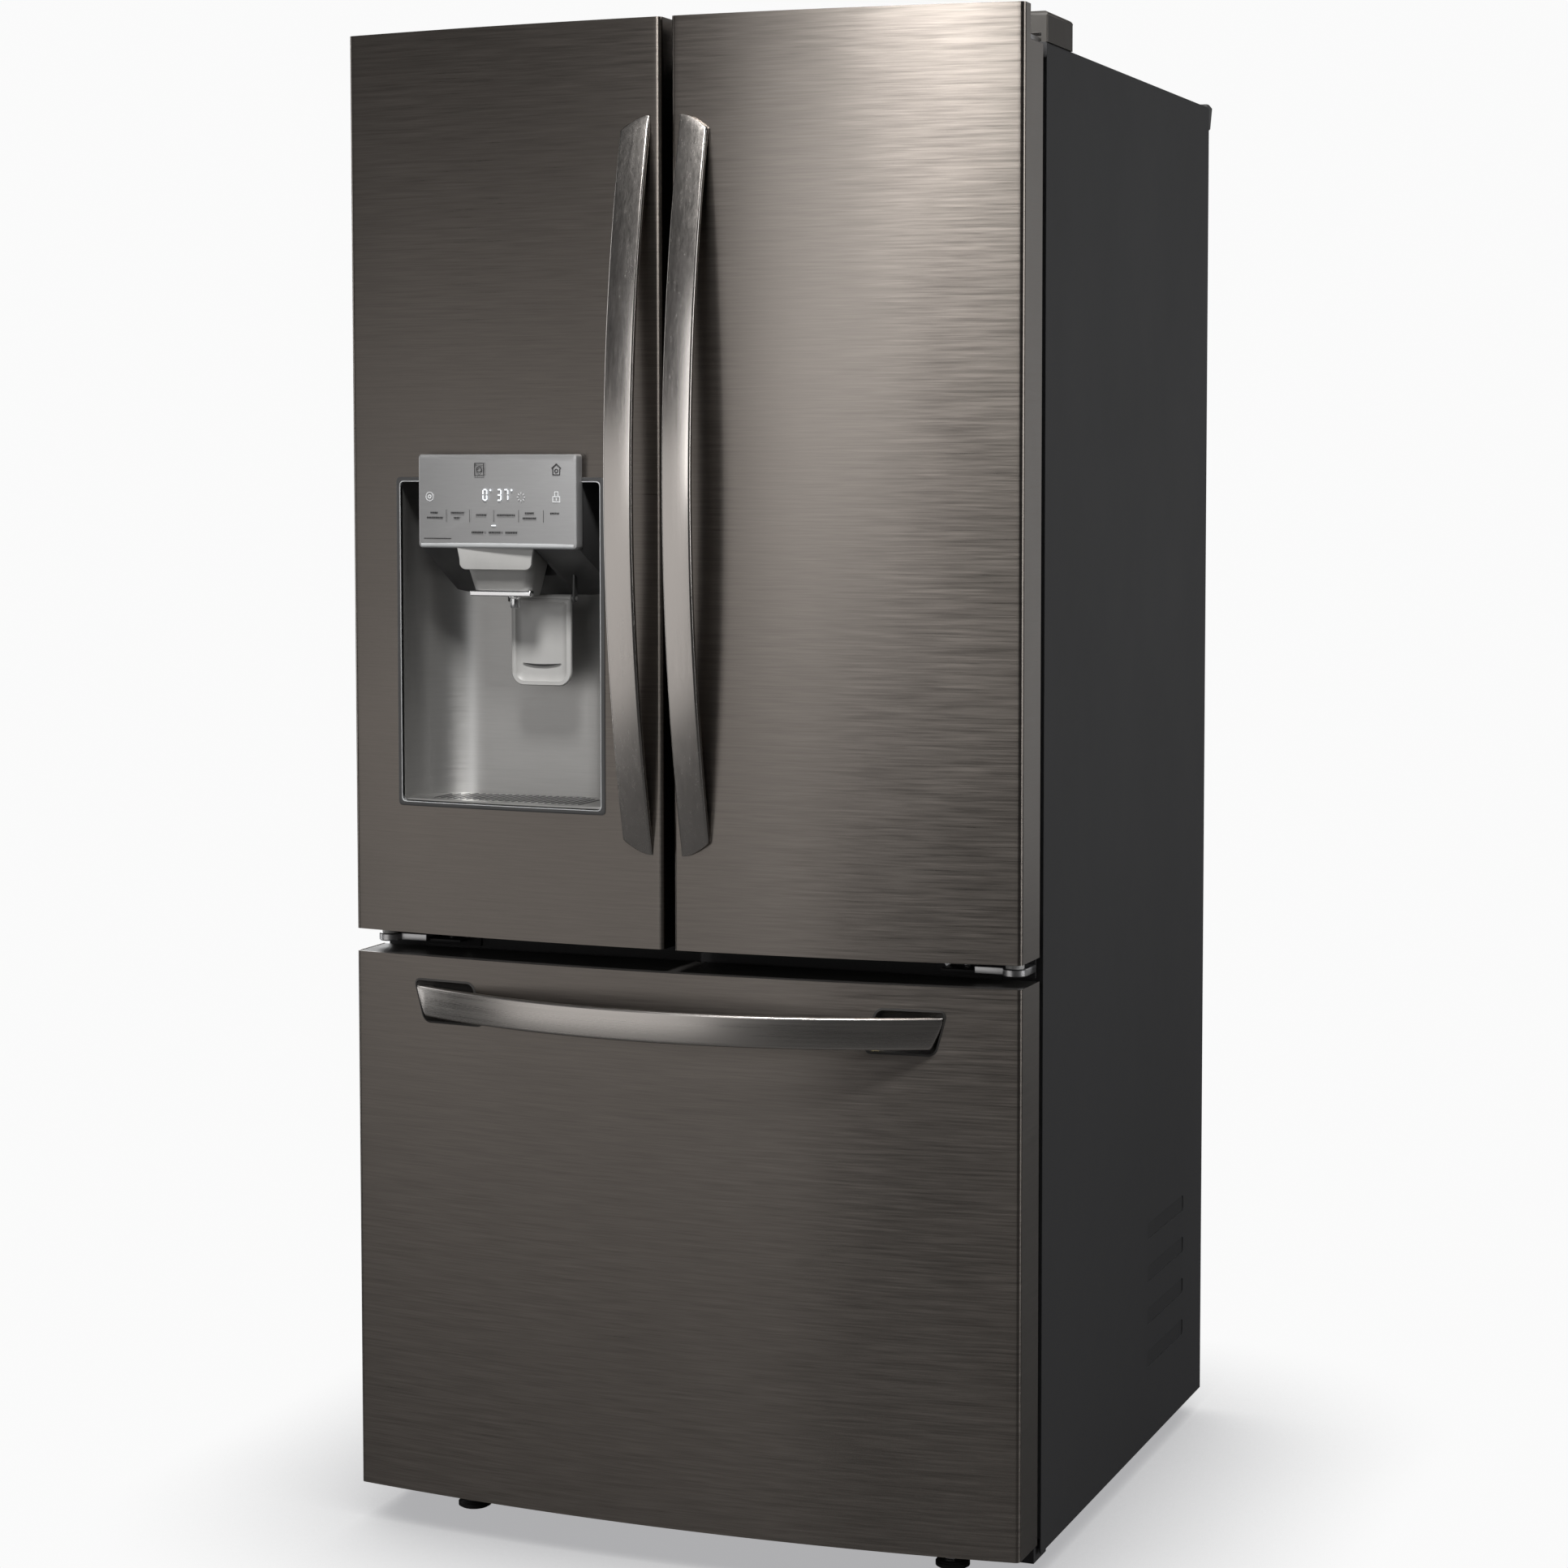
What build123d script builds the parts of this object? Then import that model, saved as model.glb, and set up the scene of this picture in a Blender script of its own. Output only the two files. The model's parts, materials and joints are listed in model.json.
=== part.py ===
"""A 33-inch French door refrigerator: two bowed doors over a freezer drawer.

Millimetres, +Z up.  While it is modelled, y = 0 is the front plane of the cabinet, the doors are at -y and
the back is at +y; x = 0 is the middle of the width and z = 0 is the floor.  The last step moves every piece by
ORIGIN_SHIFT, so that the origin ends at the centre of the whole object's footprint.
"""
from build123d import *
import math
import os

# ---------------------------------------------------------------- overall sizes
WIDTH = 832.0
CASE_TOP = 1737.0
CASE_DEPTH = 722.0
SIDE_BOTTOM = 28.0
DRAWER_BOTTOM = 43.0
DRAWER_TOP = 689.0
SPLIT = 27.0               # gap between the drawer and the doors, where the centre hinges show
DOOR_RISE = 33.5           # how far the doors rise above the cabinet
COVER_RISE = 35.0          # how far the hinge covers rise above the cabinet

# ---------------------------------------------------------------- doors
DOOR_BACK = -14.4          # rear face of the doors and the drawer front
DOOR_EDGE = 66.6           # thickness of a door at the outer edge
BOW = 30.0                 # how far the middle of the front stands out from its edges
CORNER_R = 6.0
SKIN = 1.5
GAP_LEFT = -2.5            # free edge of the left door
GAP_RIGHT = 9.5            # free edge of the right door
CAP_LOW = 25.0
CAP_HIGH = 62.0
LINER = 2.0
GASKET = 14.0
GASKET_LIP = 0.3           # the closed gasket stops this far from the cabinet
HINGE_SIDE = 22.0          # hinge axis, in from the side of the cabinet
HINGE_FRONT = -36.0        # hinge axis, in front of the cabinet
DYKE = 36.0                # how far the inner rim of a door stands out from its back
DYKE_WALL = 22.0
RIM_IN = 66.0              # inner rim, in from the outer side of a door
DYKE_END = 34.0            # inner rim, in from the top and bottom of a door
MULLION_MARGIN = 44.5      # inner rim, in from the free edge of the left door

# ---------------------------------------------------------------- cabinet
SHEET = 2.0
WALL = 50.0                # cabinet wall, outside to inside
TOP_WALL = 50.0
BACK_WALL = 60.0
FLOOR_WALL = 67.0          # from the lower edge of the side to the freezer floor
DIVIDER_LOW = 24.0         # freezer ceiling below the drawer top
DIVIDER_HIGH = 19.0        # fridge floor above the bottom edge of the doors
FOAM_BOTTOM = 45.0
MACHINE_TOP = 330.0
MACHINE_DEPTH = 272.0
STEP_WALL = 55.0
FRONT_LIP = 2.0
RIB_COUNT = 4              # ribs pressed in each side, beside the machine compartment
RIB_LOW = 125.0
RIB_PITCH = 55.0
RIB_H = 20.0
RIB_DEPTH = 1.0
RIB_LONG = 175.0

# ---------------------------------------------------------------- hinges
HINGE_PLATE = 5.0
ARM_HALF = 12.0
NOTCH_SIDE = 20.0          # notch for the arm, inwards from the hinge axis
NOTCH_FRONT = 24.0         # notch for the arm, forwards from the hinge axis
NOTCH_DROP = 4.0           # notch floor, below the top of the cabinet
MID_ARM_T = 9.0
MID_ARM_RISE = 8.0         # centre hinge arm, above the drawer
MULLION_PIN_R = 3.0
MULLION_T = 20.0
MULLION_NEAR = 8.0         # from the pivot to the bar's near edge
MULLION_FAR = 63.0         # from the pivot to the bar's far edge

# ---------------------------------------------------------------- handles
HANDLE_W = 35.0
HANDLE_T = 8.0
HANDLE_BLUNT = 9.0         # the strip's ends are cut off this far before they would run out
HANDLE_BOW = 57.0
HANDLE_FOOT = 108.0        # lower end of a door handle, above the bottom edge of the door
HANDLE_HEAD = 109.5        # upper end of a door handle, below the top edge of the door
HANDLE_SLANT = 16.0
HANDLE_SET_LEFT = 30.5     # middle of the left handle, in from the free edge of its door
HANDLE_SET_RIGHT = 29.0    # middle of the right handle, in from the free edge of its door
DRAWER_HANDLE_BOW = 58.0
DRAWER_HANDLE_END = 88.0   # end of the drawer handle, in from the side
DRAWER_HANDLE_DROP = 52.5  # middle of the drawer handle, below the top edge of the drawer
DRAWER_HANDLE_H = 36.0
POCKET_LONG = 77.0
POCKET_TALL = 46.0
POCKET_DEEP = 10.0

# ---------------------------------------------------------------- dispenser
NICHE_X = (-350.0, -77.5)
NICHE_RISE = 153.5         # underside of the niche, above the bottom edge of the door
NICHE_H = 382.0
NICHE_BACK = -5.0
NICHE_WALL = 3.0
NICHE_CORNER = 70.0
PANEL_X = (-314.0, -103.0)
PANEL_H = 108.5
PANEL_LAP = 29.0           # how far the panel rises above the top of the niche
PANEL_OUT = 15.0
PANEL_CORNER = 3.0
HOOD_DROP = 58.0
CHUTE_X = (-262.0, -163.0)
CHUTE_Y = (-112.0, -52.0)
CHUTE_TAPER = 14.0
CHUTE_DROP = 55.0          # how far the chute hangs below the panel
NOZZLE = (-203.0, -80.0)
NOZZLE_R = 6.0
LEVER_X = (-221.0, -144.0)
LEVER_Y = -50.0            # lever pivot
LEVER_DROP = 59.0          # lever pivot, below the lower edge of the panel
LEVER_H = 103.0
LEVER_T = 5.0
LEVER_PIN_R = 2.5
TRAY_T = 4.0

# ---------------------------------------------------------------- clearances
RUN = 0.05                 # radial clearance of a running fit
SEAT = 0.3                 # gap at rest between a loose piece and its seat
PIN_R = 5.0

# ---------------------------------------------------------------- inside
SHELF_FRONT = 150.0
SHELF_HEIGHTS = (505.0, 725.0)  # shelf tops, above the floor of the fresh food space
CRISPER_COVER_H = 277.0    # top of the crispers' cover, above that floor
SHELF_H = 12.0
SHELF_RIM = 14.0
GLASS_T = 4.0
GLASS_REST = 6.0
DUCT_D = 22.0
DUCT_W = 240.0
CRISPER_FRONT = 168.0
CRISPER_WALL = 3.0
CRISPER_RIM = 4.0
CRISPER_RAIL = 8.0         # height of the rails that the crispers hang on
BIN_DEPTH = 124.0
BIN_WALL = 3.0
BIN_FOOT = 40.0            # lowest bin, above the floor of the fresh food space
RIGHT_BINS = ((124.0, BIN_DEPTH), (95.0, BIN_DEPTH), (95.0, BIN_DEPTH), (86.0, 104.0))  # height and depth
LEFT_BIN_DEPTH = 92.0
ICE_ROOM_GAP = 38.5        # from the top of the niche to the ice room
ICE_WALL = 6.0
ICE_DEPTH = 132.0
ICE_BIN_FILL = 0.664       # height of the ice bin, as a share of the room under the ice maker
ICE_MAKER_H = 45.0
ICE_MAKER_DROP = 60.0      # top of the mould tray, below the roof of the ice room
BASKET_WALL = 3.0
BASKET_H = 325.0           # top of the basket, above the freezer floor
RAIL_RISE = 205.0          # underside of the drawer rails, above the freezer floor
RAIL_H = 44.0
RAIL_T = 9.0
FAN_R = 62.0
FAN_DROP = 125.0           # fan axis, below the freezer ceiling
AUGER_R = 5.0
REAR_RAIL_D = 25.0

# ---------------------------------------------------------------- machine compartment
COMPRESSOR_X = -190.0
COMPRESSOR_R = 72.0
MACHINE_FAN_X = 60.0
MACHINE_FAN_R = 70.0
CONDENSER_LONG = 225.0
GLAND_SIDE = 76.0          # cord gland and water inlet, in from the sides
INLET_R = 5.55
INLET_LONG = 14.0
INLET_Z = 120.0

# ---------------------------------------------------------------- base
FOOT_R = 20.0
FOOT_SIDE = 108.0          # foot axis, in from the side
FOOT_Y = 6.0
FOOT_H = 10.0
STEM_R = 5.0
ROLLER_R = 16.0
ROLLER_W = 18.0
ROLLER_SIDE = 66.0         # middle of a roller, in from the side
ROLLER_BACK = 52.0         # roller axis, in from the back
AXLE_R = 4.0

# ---------------------------------------------------------------- values that follow
HALF = WIDTH / 2
DOOR_BOTTOM = DRAWER_TOP + SPLIT
DOOR_TOP = CASE_TOP + DOOR_RISE
COVER_TOP = CASE_TOP + COVER_RISE
BOW_R = (HALF**2 + BOW**2) / (2 * BOW)
EDGE_Y = DOOR_BACK - DOOR_EDGE
APEX_Y = EDGE_Y - BOW
HINGE_X = HALF - HINGE_SIDE
CAVITY = HALF - WALL
FRIDGE_LOW = DOOR_BOTTOM + DIVIDER_HIGH
FRIDGE_HIGH = CASE_TOP - TOP_WALL
FREEZER_LOW = SIDE_BOTTOM + FLOOR_WALL
FREEZER_HIGH = DRAWER_TOP - DIVIDER_LOW
CAVITY_BACK = CASE_DEPTH - BACK_WALL
MACHINE_FRONT = CASE_DEPTH - MACHINE_DEPTH
STEP_FRONT = MACHINE_FRONT - WALL
STEP_TOP = MACHINE_TOP + STEP_WALL
SHELF_BACK = CAVITY_BACK - DUCT_D - SEAT
NOTCH_LOW = CASE_TOP - NOTCH_DROP
MID_ARM_LOW = DRAWER_TOP + MID_ARM_RISE
MULLION_X = GAP_LEFT - 29.5
MULLION_Y = 10.3
MULLION_LOW = FRIDGE_LOW + 20
MULLION_HIGH = FRIDGE_HIGH - 20
DRAWER_HANDLE_Y = APEX_Y - DRAWER_HANDLE_BOW
BACK_Y = CASE_DEPTH + REAR_RAIL_D
RIB_Y = (MACHINE_FRONT + 2, MACHINE_FRONT + 2 + RIB_LONG)
HANDLE_LOW = DOOR_BOTTOM + HANDLE_FOOT
HANDLE_HIGH = DOOR_TOP - HANDLE_HEAD
HANDLE_LEFT_X = GAP_LEFT - HANDLE_SET_LEFT
HANDLE_RIGHT_X = GAP_RIGHT + HANDLE_SET_RIGHT
DRAWER_HANDLE_HALF = HALF - DRAWER_HANDLE_END
DRAWER_HANDLE_Z = DRAWER_TOP - DRAWER_HANDLE_DROP
NICHE_Z = (DOOR_BOTTOM + NICHE_RISE, DOOR_BOTTOM + NICHE_RISE + NICHE_H)
PANEL_Z = (NICHE_Z[1] + PANEL_LAP - PANEL_H, NICHE_Z[1] + PANEL_LAP)
CHUTE_LOW = PANEL_Z[0] - CHUTE_DROP
LEVER_Z = PANEL_Z[0] - LEVER_DROP
LEVER_LOW = LEVER_Z - LEVER_H
SHELF_LEVELS = tuple(FRIDGE_LOW + height for height in SHELF_HEIGHTS)
CRISPER_COVER = FRIDGE_LOW + CRISPER_COVER_H
RAIL_TOP = CRISPER_COVER - SHELF_H - 16
ICE_ROOM_LOW = NICHE_Z[1] + ICE_ROOM_GAP
BASKET_TOP = FREEZER_LOW + BASKET_H
RAIL_Z = FREEZER_LOW + RAIL_RISE
FAN_Z = FREEZER_HIGH - FAN_DROP
CONDENSER_X = (MACHINE_FAN_X + 50, MACHINE_FAN_X + 50 + CONDENSER_LONG)
GLAND_X = GLAND_SIDE - HALF
VALVE_X = HALF - GLAND_SIDE
FOOT_X = HALF - FOOT_SIDE
ROLLER_X = HALF - ROLLER_SIDE
ROLLER_Y = CASE_DEPTH - ROLLER_BACK
ORIGIN_SHIFT = -(DRAWER_HANDLE_Y + BACK_Y) / 2


# ================================================================ helpers
def block(x, y, z):
    """A block from three (low, high) pairs."""
    centre = Pos(sum(x) / 2, sum(y) / 2, sum(z) / 2)
    return centre * Box(abs(x[1] - x[0]), abs(y[1] - y[0]), abs(z[1] - z[0]))


def rod_x(x, y, z, radius):
    """A round bar along x, between the two values of x."""
    return Pos(sum(x) / 2, y, z) * Rot(0, 90, 0) * Cylinder(radius, x[1] - x[0])


def rod_y(x, y, z, radius):
    """A round bar along y, between the two values of y."""
    return Pos(x, sum(y) / 2, z) * Rot(90, 0, 0) * Cylinder(radius, y[1] - y[0])


def rod_z(x, y, z, radius):
    """A round bar along z, between the two values of z."""
    return Pos(x, y, sum(z) / 2) * Cylinder(radius, z[1] - z[0])


def grown(span, by):
    """A (low, high) pair made longer by the same amount at both ends."""
    return (span[0] - by, span[1] + by)


def tub(x, y, z, wall, floor=None):
    """A box that is open at the top."""
    thick = wall if floor is None else floor
    inside = block(grown(x, -wall), grown(y, -wall), (z[0] + thick, z[1] + 1))
    return block(x, y, z) - inside


def mirrored(shape):
    """The same piece on the other side of the cabinet."""
    return shape.mirror(Plane.YZ)


def bowed(x, z, inset=0.0, back=DOOR_BACK, end_inset=0.0):
    """A slab with the shared bowed front, set in from the door's outside by inset."""
    span = grown(x, -inset)
    slab = block(span, (APEX_Y - 1, back), grown(z, -end_inset))
    drum = rod_z(0, APEX_Y + BOW_R, grown(z, 1), BOW_R - inset)
    slab = slab & drum
    corners = slab.edges().filter_by(Axis.Z).filter_by(lambda e: e.center().Y < EDGE_Y + CORNER_R + 2)
    return fillet(corners, max(CORNER_R - inset, 1.0))


def front_y(x):
    """Where the bowed front is at x."""
    return APEX_Y + BOW_R - math.sqrt(BOW_R**2 - x**2)


def picture_frame(x, y, z, width):
    """A flat rectangular ring that faces the cabinet."""
    return block(x, y, z) - block(grown(x, -width), grown(y, 1), grown(z, -width))


# ================================================================ cabinet
def outer_shell():
    """Painted sheet: two sides, top and the flanges that the gaskets meet, with ribs pressed in the sides."""
    body = block((-HALF, HALF), (0, CASE_DEPTH), (SIDE_BOTTOM, CASE_TOP))
    body -= block((-HALF + SHEET, HALF - SHEET), (FRONT_LIP, CASE_DEPTH + 1), (SIDE_BOTTOM - 1, CASE_TOP - SHEET))
    for low, high in ((FRIDGE_LOW, FRIDGE_HIGH), (FREEZER_LOW, FREEZER_HIGH)):
        body -= block(grown((-CAVITY, CAVITY), LINER), (-1, FRONT_LIP + 1), grown((low, high), LINER))
    body -= block(grown((-CAVITY, CAVITY), LINER), (-1, FRONT_LIP + 1), (FREEZER_HIGH, FRIDGE_LOW))
    body -= block((-HALF - 1, HALF + 1), (-1, FRONT_LIP), (SIDE_BOTTOM - 1, FOAM_BOTTOM)) - block(
        (-HALF, -HALF + SHEET), (0, FRONT_LIP), (SIDE_BOTTOM, FOAM_BOTTOM)
    ) - block((HALF - SHEET, HALF), (0, FRONT_LIP), (SIDE_BOTTOM, FOAM_BOTTOM))
    for rib in range(RIB_COUNT):
        z = RIB_LOW + rib * RIB_PITCH
        for side in (-1, 1):
            face = (side * HALF - RIB_DEPTH, side * HALF + RIB_DEPTH)
            body -= block(face, RIB_Y, (z, z + RIB_H))
    return body


def liner_box(low, high, back, front=0.0):
    """The outside of a liner, as a solid block."""
    return block(grown((-CAVITY, CAVITY), LINER), (front, back + LINER), (low - LINER, high + LINER))


def fridge_liner():
    """Moulded inner wall of the fresh food space, with the cold air duct raised on its back."""
    body = liner_box(FRIDGE_LOW, FRIDGE_HIGH, CAVITY_BACK)
    body -= block((-CAVITY, CAVITY), (-1, CAVITY_BACK), (FRIDGE_LOW, FRIDGE_HIGH))
    duct = block((-DUCT_W / 2, DUCT_W / 2), (CAVITY_BACK - DUCT_D, CAVITY_BACK + 1), (FRIDGE_LOW, FRIDGE_HIGH))
    return body + duct


def freezer_liner():
    """Moulded inner wall of the freezer, stepped over the machine compartment."""
    upper = liner_box(STEP_TOP, FREEZER_HIGH, CAVITY_BACK)
    lower = liner_box(FREEZER_LOW, FREEZER_HIGH, STEP_FRONT)
    body = upper + lower
    body -= block((-CAVITY, CAVITY), (-1, CAVITY_BACK), (STEP_TOP, FREEZER_HIGH))
    body -= block((-CAVITY, CAVITY), (-1, STEP_FRONT), (FREEZER_LOW, FREEZER_HIGH))
    return body


def centre_rail():
    """Painted channel across the front, between the fresh food space and the freezer."""
    x = grown((-CAVITY, CAVITY), LINER)
    z = (FREEZER_HIGH + LINER, FRIDGE_LOW - LINER)
    return block(x, (0, 30), z) - block(grown(x, 1), (FRONT_LIP, 31), grown(z, -SHEET))


def insulation_foam():
    """The foamed-in-place core between the shell, the back and the two liners."""
    x = (-HALF + SHEET, HALF - SHEET)
    body = block(x, (FRONT_LIP, CASE_DEPTH - SHEET), (FOAM_BOTTOM, CASE_TOP - SHEET))
    body -= liner_box(FRIDGE_LOW, FRIDGE_HIGH, CAVITY_BACK)
    body -= liner_box(STEP_TOP, FREEZER_HIGH, CAVITY_BACK)
    body -= liner_box(FREEZER_LOW, FREEZER_HIGH, STEP_FRONT)
    body -= block(grown(x, 1), (MACHINE_FRONT, CASE_DEPTH), (FOAM_BOTTOM - 1, MACHINE_TOP))
    return body - centre_rail()


def back_panel():
    """Sheet steel back above the machine compartment."""
    x = (-HALF + SHEET, HALF - SHEET)
    return block(x, (CASE_DEPTH - SHEET, CASE_DEPTH), (MACHINE_TOP, CASE_TOP - SHEET))


def rear_top_rail():
    """Black moulding along the top rear edge, which also keeps the back off the wall."""
    low, high = CASE_TOP - 29, CASE_TOP + 4
    side = Polyline(
        (CASE_DEPTH, low),
        (CASE_DEPTH + 0.6 * REAR_RAIL_D, low),
        (BACK_Y, high - 3),
        (CASE_DEPTH + 8, high),
        (CASE_DEPTH, high),
        close=True,
    )
    profile = Plane.YZ * make_face(side)
    return Pos(-HALF + 2, 0, 0) * extrude(profile, WIDTH - 4)


def base_frame():
    """Steel base: front beam, side rails, rear beam, compressor tray and the forks of the rear rollers."""
    x = (-HALF + 6, HALF - 6)
    body = block(x, (FOOT_Y - 14, FOOT_Y + 34), (18, FOAM_BOTTOM - 4))
    for side in (-1, 1):
        rail = sorted((side * (HALF - 6), side * (HALF - 36)))
        body += block(rail, (FOOT_Y, CASE_DEPTH - 6), (30, FOAM_BOTTOM))
    body += block(x, (MACHINE_FRONT + 2, CASE_DEPTH - 6), (40, FOAM_BOTTOM))
    body -= block(grown(x, 1), (-30, 3), (FOAM_BOTTOM - 3, FOAM_BOTTOM + 1))
    for side in (-1, 1):
        body -= rod_z(side * FOOT_X, FOOT_Y, (10, FOAM_BOTTOM + 1), STEM_R + RUN)
        wide = ROLLER_W / 2 + 1
        for ear in (-1, 1):
            inner = side * ROLLER_X + ear * wide
            outer = inner + ear * 3
            body += block(sorted((inner, outer)), (ROLLER_Y - 12, ROLLER_Y + 12), (ROLLER_R - 8, 42))
        body += rod_x((side * ROLLER_X - wide - 1, side * ROLLER_X + wide + 1), ROLLER_Y, ROLLER_R, AXLE_R)
        well = block(
            grown((side * ROLLER_X, side * ROLLER_X), wide),
            (ROLLER_Y - ROLLER_R - 2, ROLLER_Y + ROLLER_R + 2),
            (28, 2 * ROLLER_R + 3),
        )
        body -= well
    return body


def front_feet():
    """Two round levelling feet on threaded stems."""
    feet = []
    for side in (-1, 1):
        pad = rod_z(side * FOOT_X, FOOT_Y, (0, FOOT_H), FOOT_R)
        pad = fillet(pad.edges().filter_by(GeomType.CIRCLE), 2)
        collar = rod_z(side * FOOT_X, FOOT_Y, (FOOT_H - 1, 18 - SEAT), 11)
        feet.append(pad + collar + rod_z(side * FOOT_X, FOOT_Y, (FOOT_H, FOAM_BOTTOM - 4), STEM_R))
    return feet


def rear_roller(side):
    """A rear roller, bored for its axle."""
    x = grown((side * ROLLER_X, side * ROLLER_X), ROLLER_W / 2)
    return rod_x(x, ROLLER_Y, ROLLER_R, ROLLER_R) - rod_x(grown(x, 1), ROLLER_Y, ROLLER_R, AXLE_R + RUN)


# ================================================================ hinges
def top_hinges():
    """Steel plates on top of the cabinet, each with an arm and a pin that goes down into its door."""
    arm = block((HINGE_X - ARM_HALF, HINGE_X + ARM_HALF), (HINGE_FRONT, 12), (CASE_TOP, CASE_TOP + HINGE_PLATE))
    end = rod_z(HINGE_X, HINGE_FRONT, (CASE_TOP, CASE_TOP + HINGE_PLATE), ARM_HALF)
    plate = block((HALF - 80, HALF - 6), (10, 92), (CASE_TOP, CASE_TOP + HINGE_PLATE))
    pin = rod_z(HINGE_X, HINGE_FRONT, (DOOR_TOP - CAP_HIGH + 4, CASE_TOP + 1), PIN_R)
    right = arm + end + plate + pin
    for x, y in ((HALF - 66, 26), (HALF - 22, 26), (HALF - 44, 76)):
        right += rod_z(x, y, (CASE_TOP + 2, CASE_TOP + HINGE_PLATE + 4), 7)
    return [right, mirrored(right)]


def hinge_covers():
    """Black covers over the top hinges, open at the front for the arm."""
    x = (HALF - 86, HALF)
    y = (4, 102)
    cover = block(x, y, (CASE_TOP, COVER_TOP))
    tops = cover.edges().filter_by(lambda e: e.center().Z > COVER_TOP - 1)
    cover = fillet(tops, 4)
    inner = block(grown(x, -2.5), grown(y, -2.5), (CASE_TOP - 1, COVER_TOP - 3))
    arm_way = block((HINGE_X - ARM_HALF - 2, HINGE_X + ARM_HALF + 2), (0, 8), (CASE_TOP - 1, CASE_TOP + 9))
    right = cover - inner - arm_way
    return [right, mirrored(right)]


def centre_hinges():
    """Brackets on the centre rail, each with an arm and a pin that goes up into its door."""
    plate = block((HALF - 126, HALF - 8), (-3, 0), (DRAWER_TOP + 1, DOOR_BOTTOM - 2))
    z = (MID_ARM_LOW, MID_ARM_LOW + MID_ARM_T)
    arm = block((HALF - 70, HALF - 8), (HINGE_FRONT, -2), z)
    end = rod_z(HINGE_X, HINGE_FRONT, z, 14)
    web = block((HALF - 112, HALF - 70), (-30, -2), (z[0], z[0] + 3))
    pin = rod_z(HINGE_X, HINGE_FRONT, (z[0], DOOR_BOTTOM + CAP_LOW - 4), PIN_R)
    right = plate + arm + end + web + pin
    for x in (HALF - 112, HALF - 88):
        right += rod_y(x, (-6, -1), (DRAWER_TOP + DOOR_BOTTOM) / 2, 4.5)
    return [right, mirrored(right)]


def hinge_notch(side):
    """The space in a door's top rear corner that the hinge arm sweeps through."""
    x = sorted((side * (HINGE_X - NOTCH_SIDE), side * (HALF + 1)))
    return block(x, (HINGE_FRONT - NOTCH_FRONT, DOOR_BACK + 1), (NOTCH_LOW, DOOR_TOP + 1))


# ================================================================ doors
class Panel:
    """One bowed front: either door, or the drawer front.

    side is -1 for the left door, 1 for the right door and 0 for the drawer.
    """

    def __init__(self, side, x, z, dyke_x, dyke_z, gasket_x, gasket_z):
        self.side = side
        self.x = x
        self.z = z
        self.dyke_x = dyke_x
        self.dyke_z = dyke_z
        self.gasket_x = gasket_x
        self.gasket_z = gasket_z
        self.low_cap = (z[0] + 0.5, z[0] + (CAP_LOW if side else 12))
        self.high_cap = (z[1] - (CAP_HIGH if side else 12), z[1] - 0.5)

    def bores(self):
        """The holes for the hinge pins, or None on the drawer."""
        pin_x = self.side * HINGE_X
        radius = PIN_R + RUN
        low = rod_z(pin_x, HINGE_FRONT, (self.z[0] - 1, self.low_cap[1]), radius)
        return low + rod_z(pin_x, HINGE_FRONT, (self.high_cap[0], NOTCH_LOW + 1), radius)

    def skin(self):
        """The steel front with its side returns."""
        body = bowed(self.x, self.z)
        hollow = bowed(self.x, grown(self.z, 2), inset=SKIN, back=DOOR_BACK + 1)
        body -= hollow
        if self.side:
            body -= hinge_notch(self.side)
        return body

    def caps(self):
        """Plastic end caps, bored for the hinge pins on a door."""
        caps = []
        for z in (self.low_cap, self.high_cap):
            cap = bowed(self.x, z, inset=SKIN)
            if self.side:
                cap = cap - hinge_notch(self.side) - self.bores()
            caps.append(cap)
        return caps

    def rim(self, y, shrink):
        """A ring with the plan of the raised rim, thinner by shrink on every side."""
        x, z = self.dyke_x, self.dyke_z
        outer = block(grown(x, -shrink), y, grown(z, -shrink))
        hole = DYKE_WALL - shrink
        return outer - block(grown(x, -hole), grown(y, 1), grown(z, -hole))

    def dyke(self, shrink=0.0):
        """The raised rim inside the gasket, or its foam core when shrink is the liner's thickness."""
        return self.rim((DOOR_BACK, DOOR_BACK + DYKE - shrink), shrink)

    def foam(self):
        """Foam core of the door, up to the back of the liner."""
        z = (self.low_cap[1], self.high_cap[0])
        core = bowed(self.x, z, inset=SKIN, back=DOOR_BACK - LINER)
        root = (DOOR_BACK - LINER - 1, DOOR_BACK)
        return core + self.rim(root, LINER) + self.dyke(LINER)

    def liner(self):
        """Moulded inner face with its raised rim."""
        plate = block(grown(self.x, -SKIN), (DOOR_BACK - LINER, DOOR_BACK), (self.low_cap[1], self.high_cap[0]))
        return plate + self.dyke() - self.foam()

    def gasket(self):
        """Magnetic door seal."""
        return picture_frame(self.gasket_x, (DOOR_BACK, -GASKET_LIP), self.gasket_z, GASKET)


def door_panel(side):
    """The sizes of the left or right door."""
    outer = side * HALF
    free = GAP_LEFT if side < 0 else GAP_RIGHT
    rim_outer = side * (HALF - RIM_IN)
    rim_free = free - MULLION_MARGIN if side < 0 else free + 28.5
    seal_outer = side * (HINGE_X - 2)
    seal_free = free + side * 3.5
    return Panel(
        side,
        tuple(sorted((outer, free))),
        (DOOR_BOTTOM, DOOR_TOP),
        tuple(sorted((rim_outer, rim_free))),
        (FRIDGE_LOW + 15, FRIDGE_HIGH - 15),
        tuple(sorted((seal_outer, seal_free))),
        (FRIDGE_LOW - GASKET - 2, FRIDGE_HIGH + GASKET + 2),
    )


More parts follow.
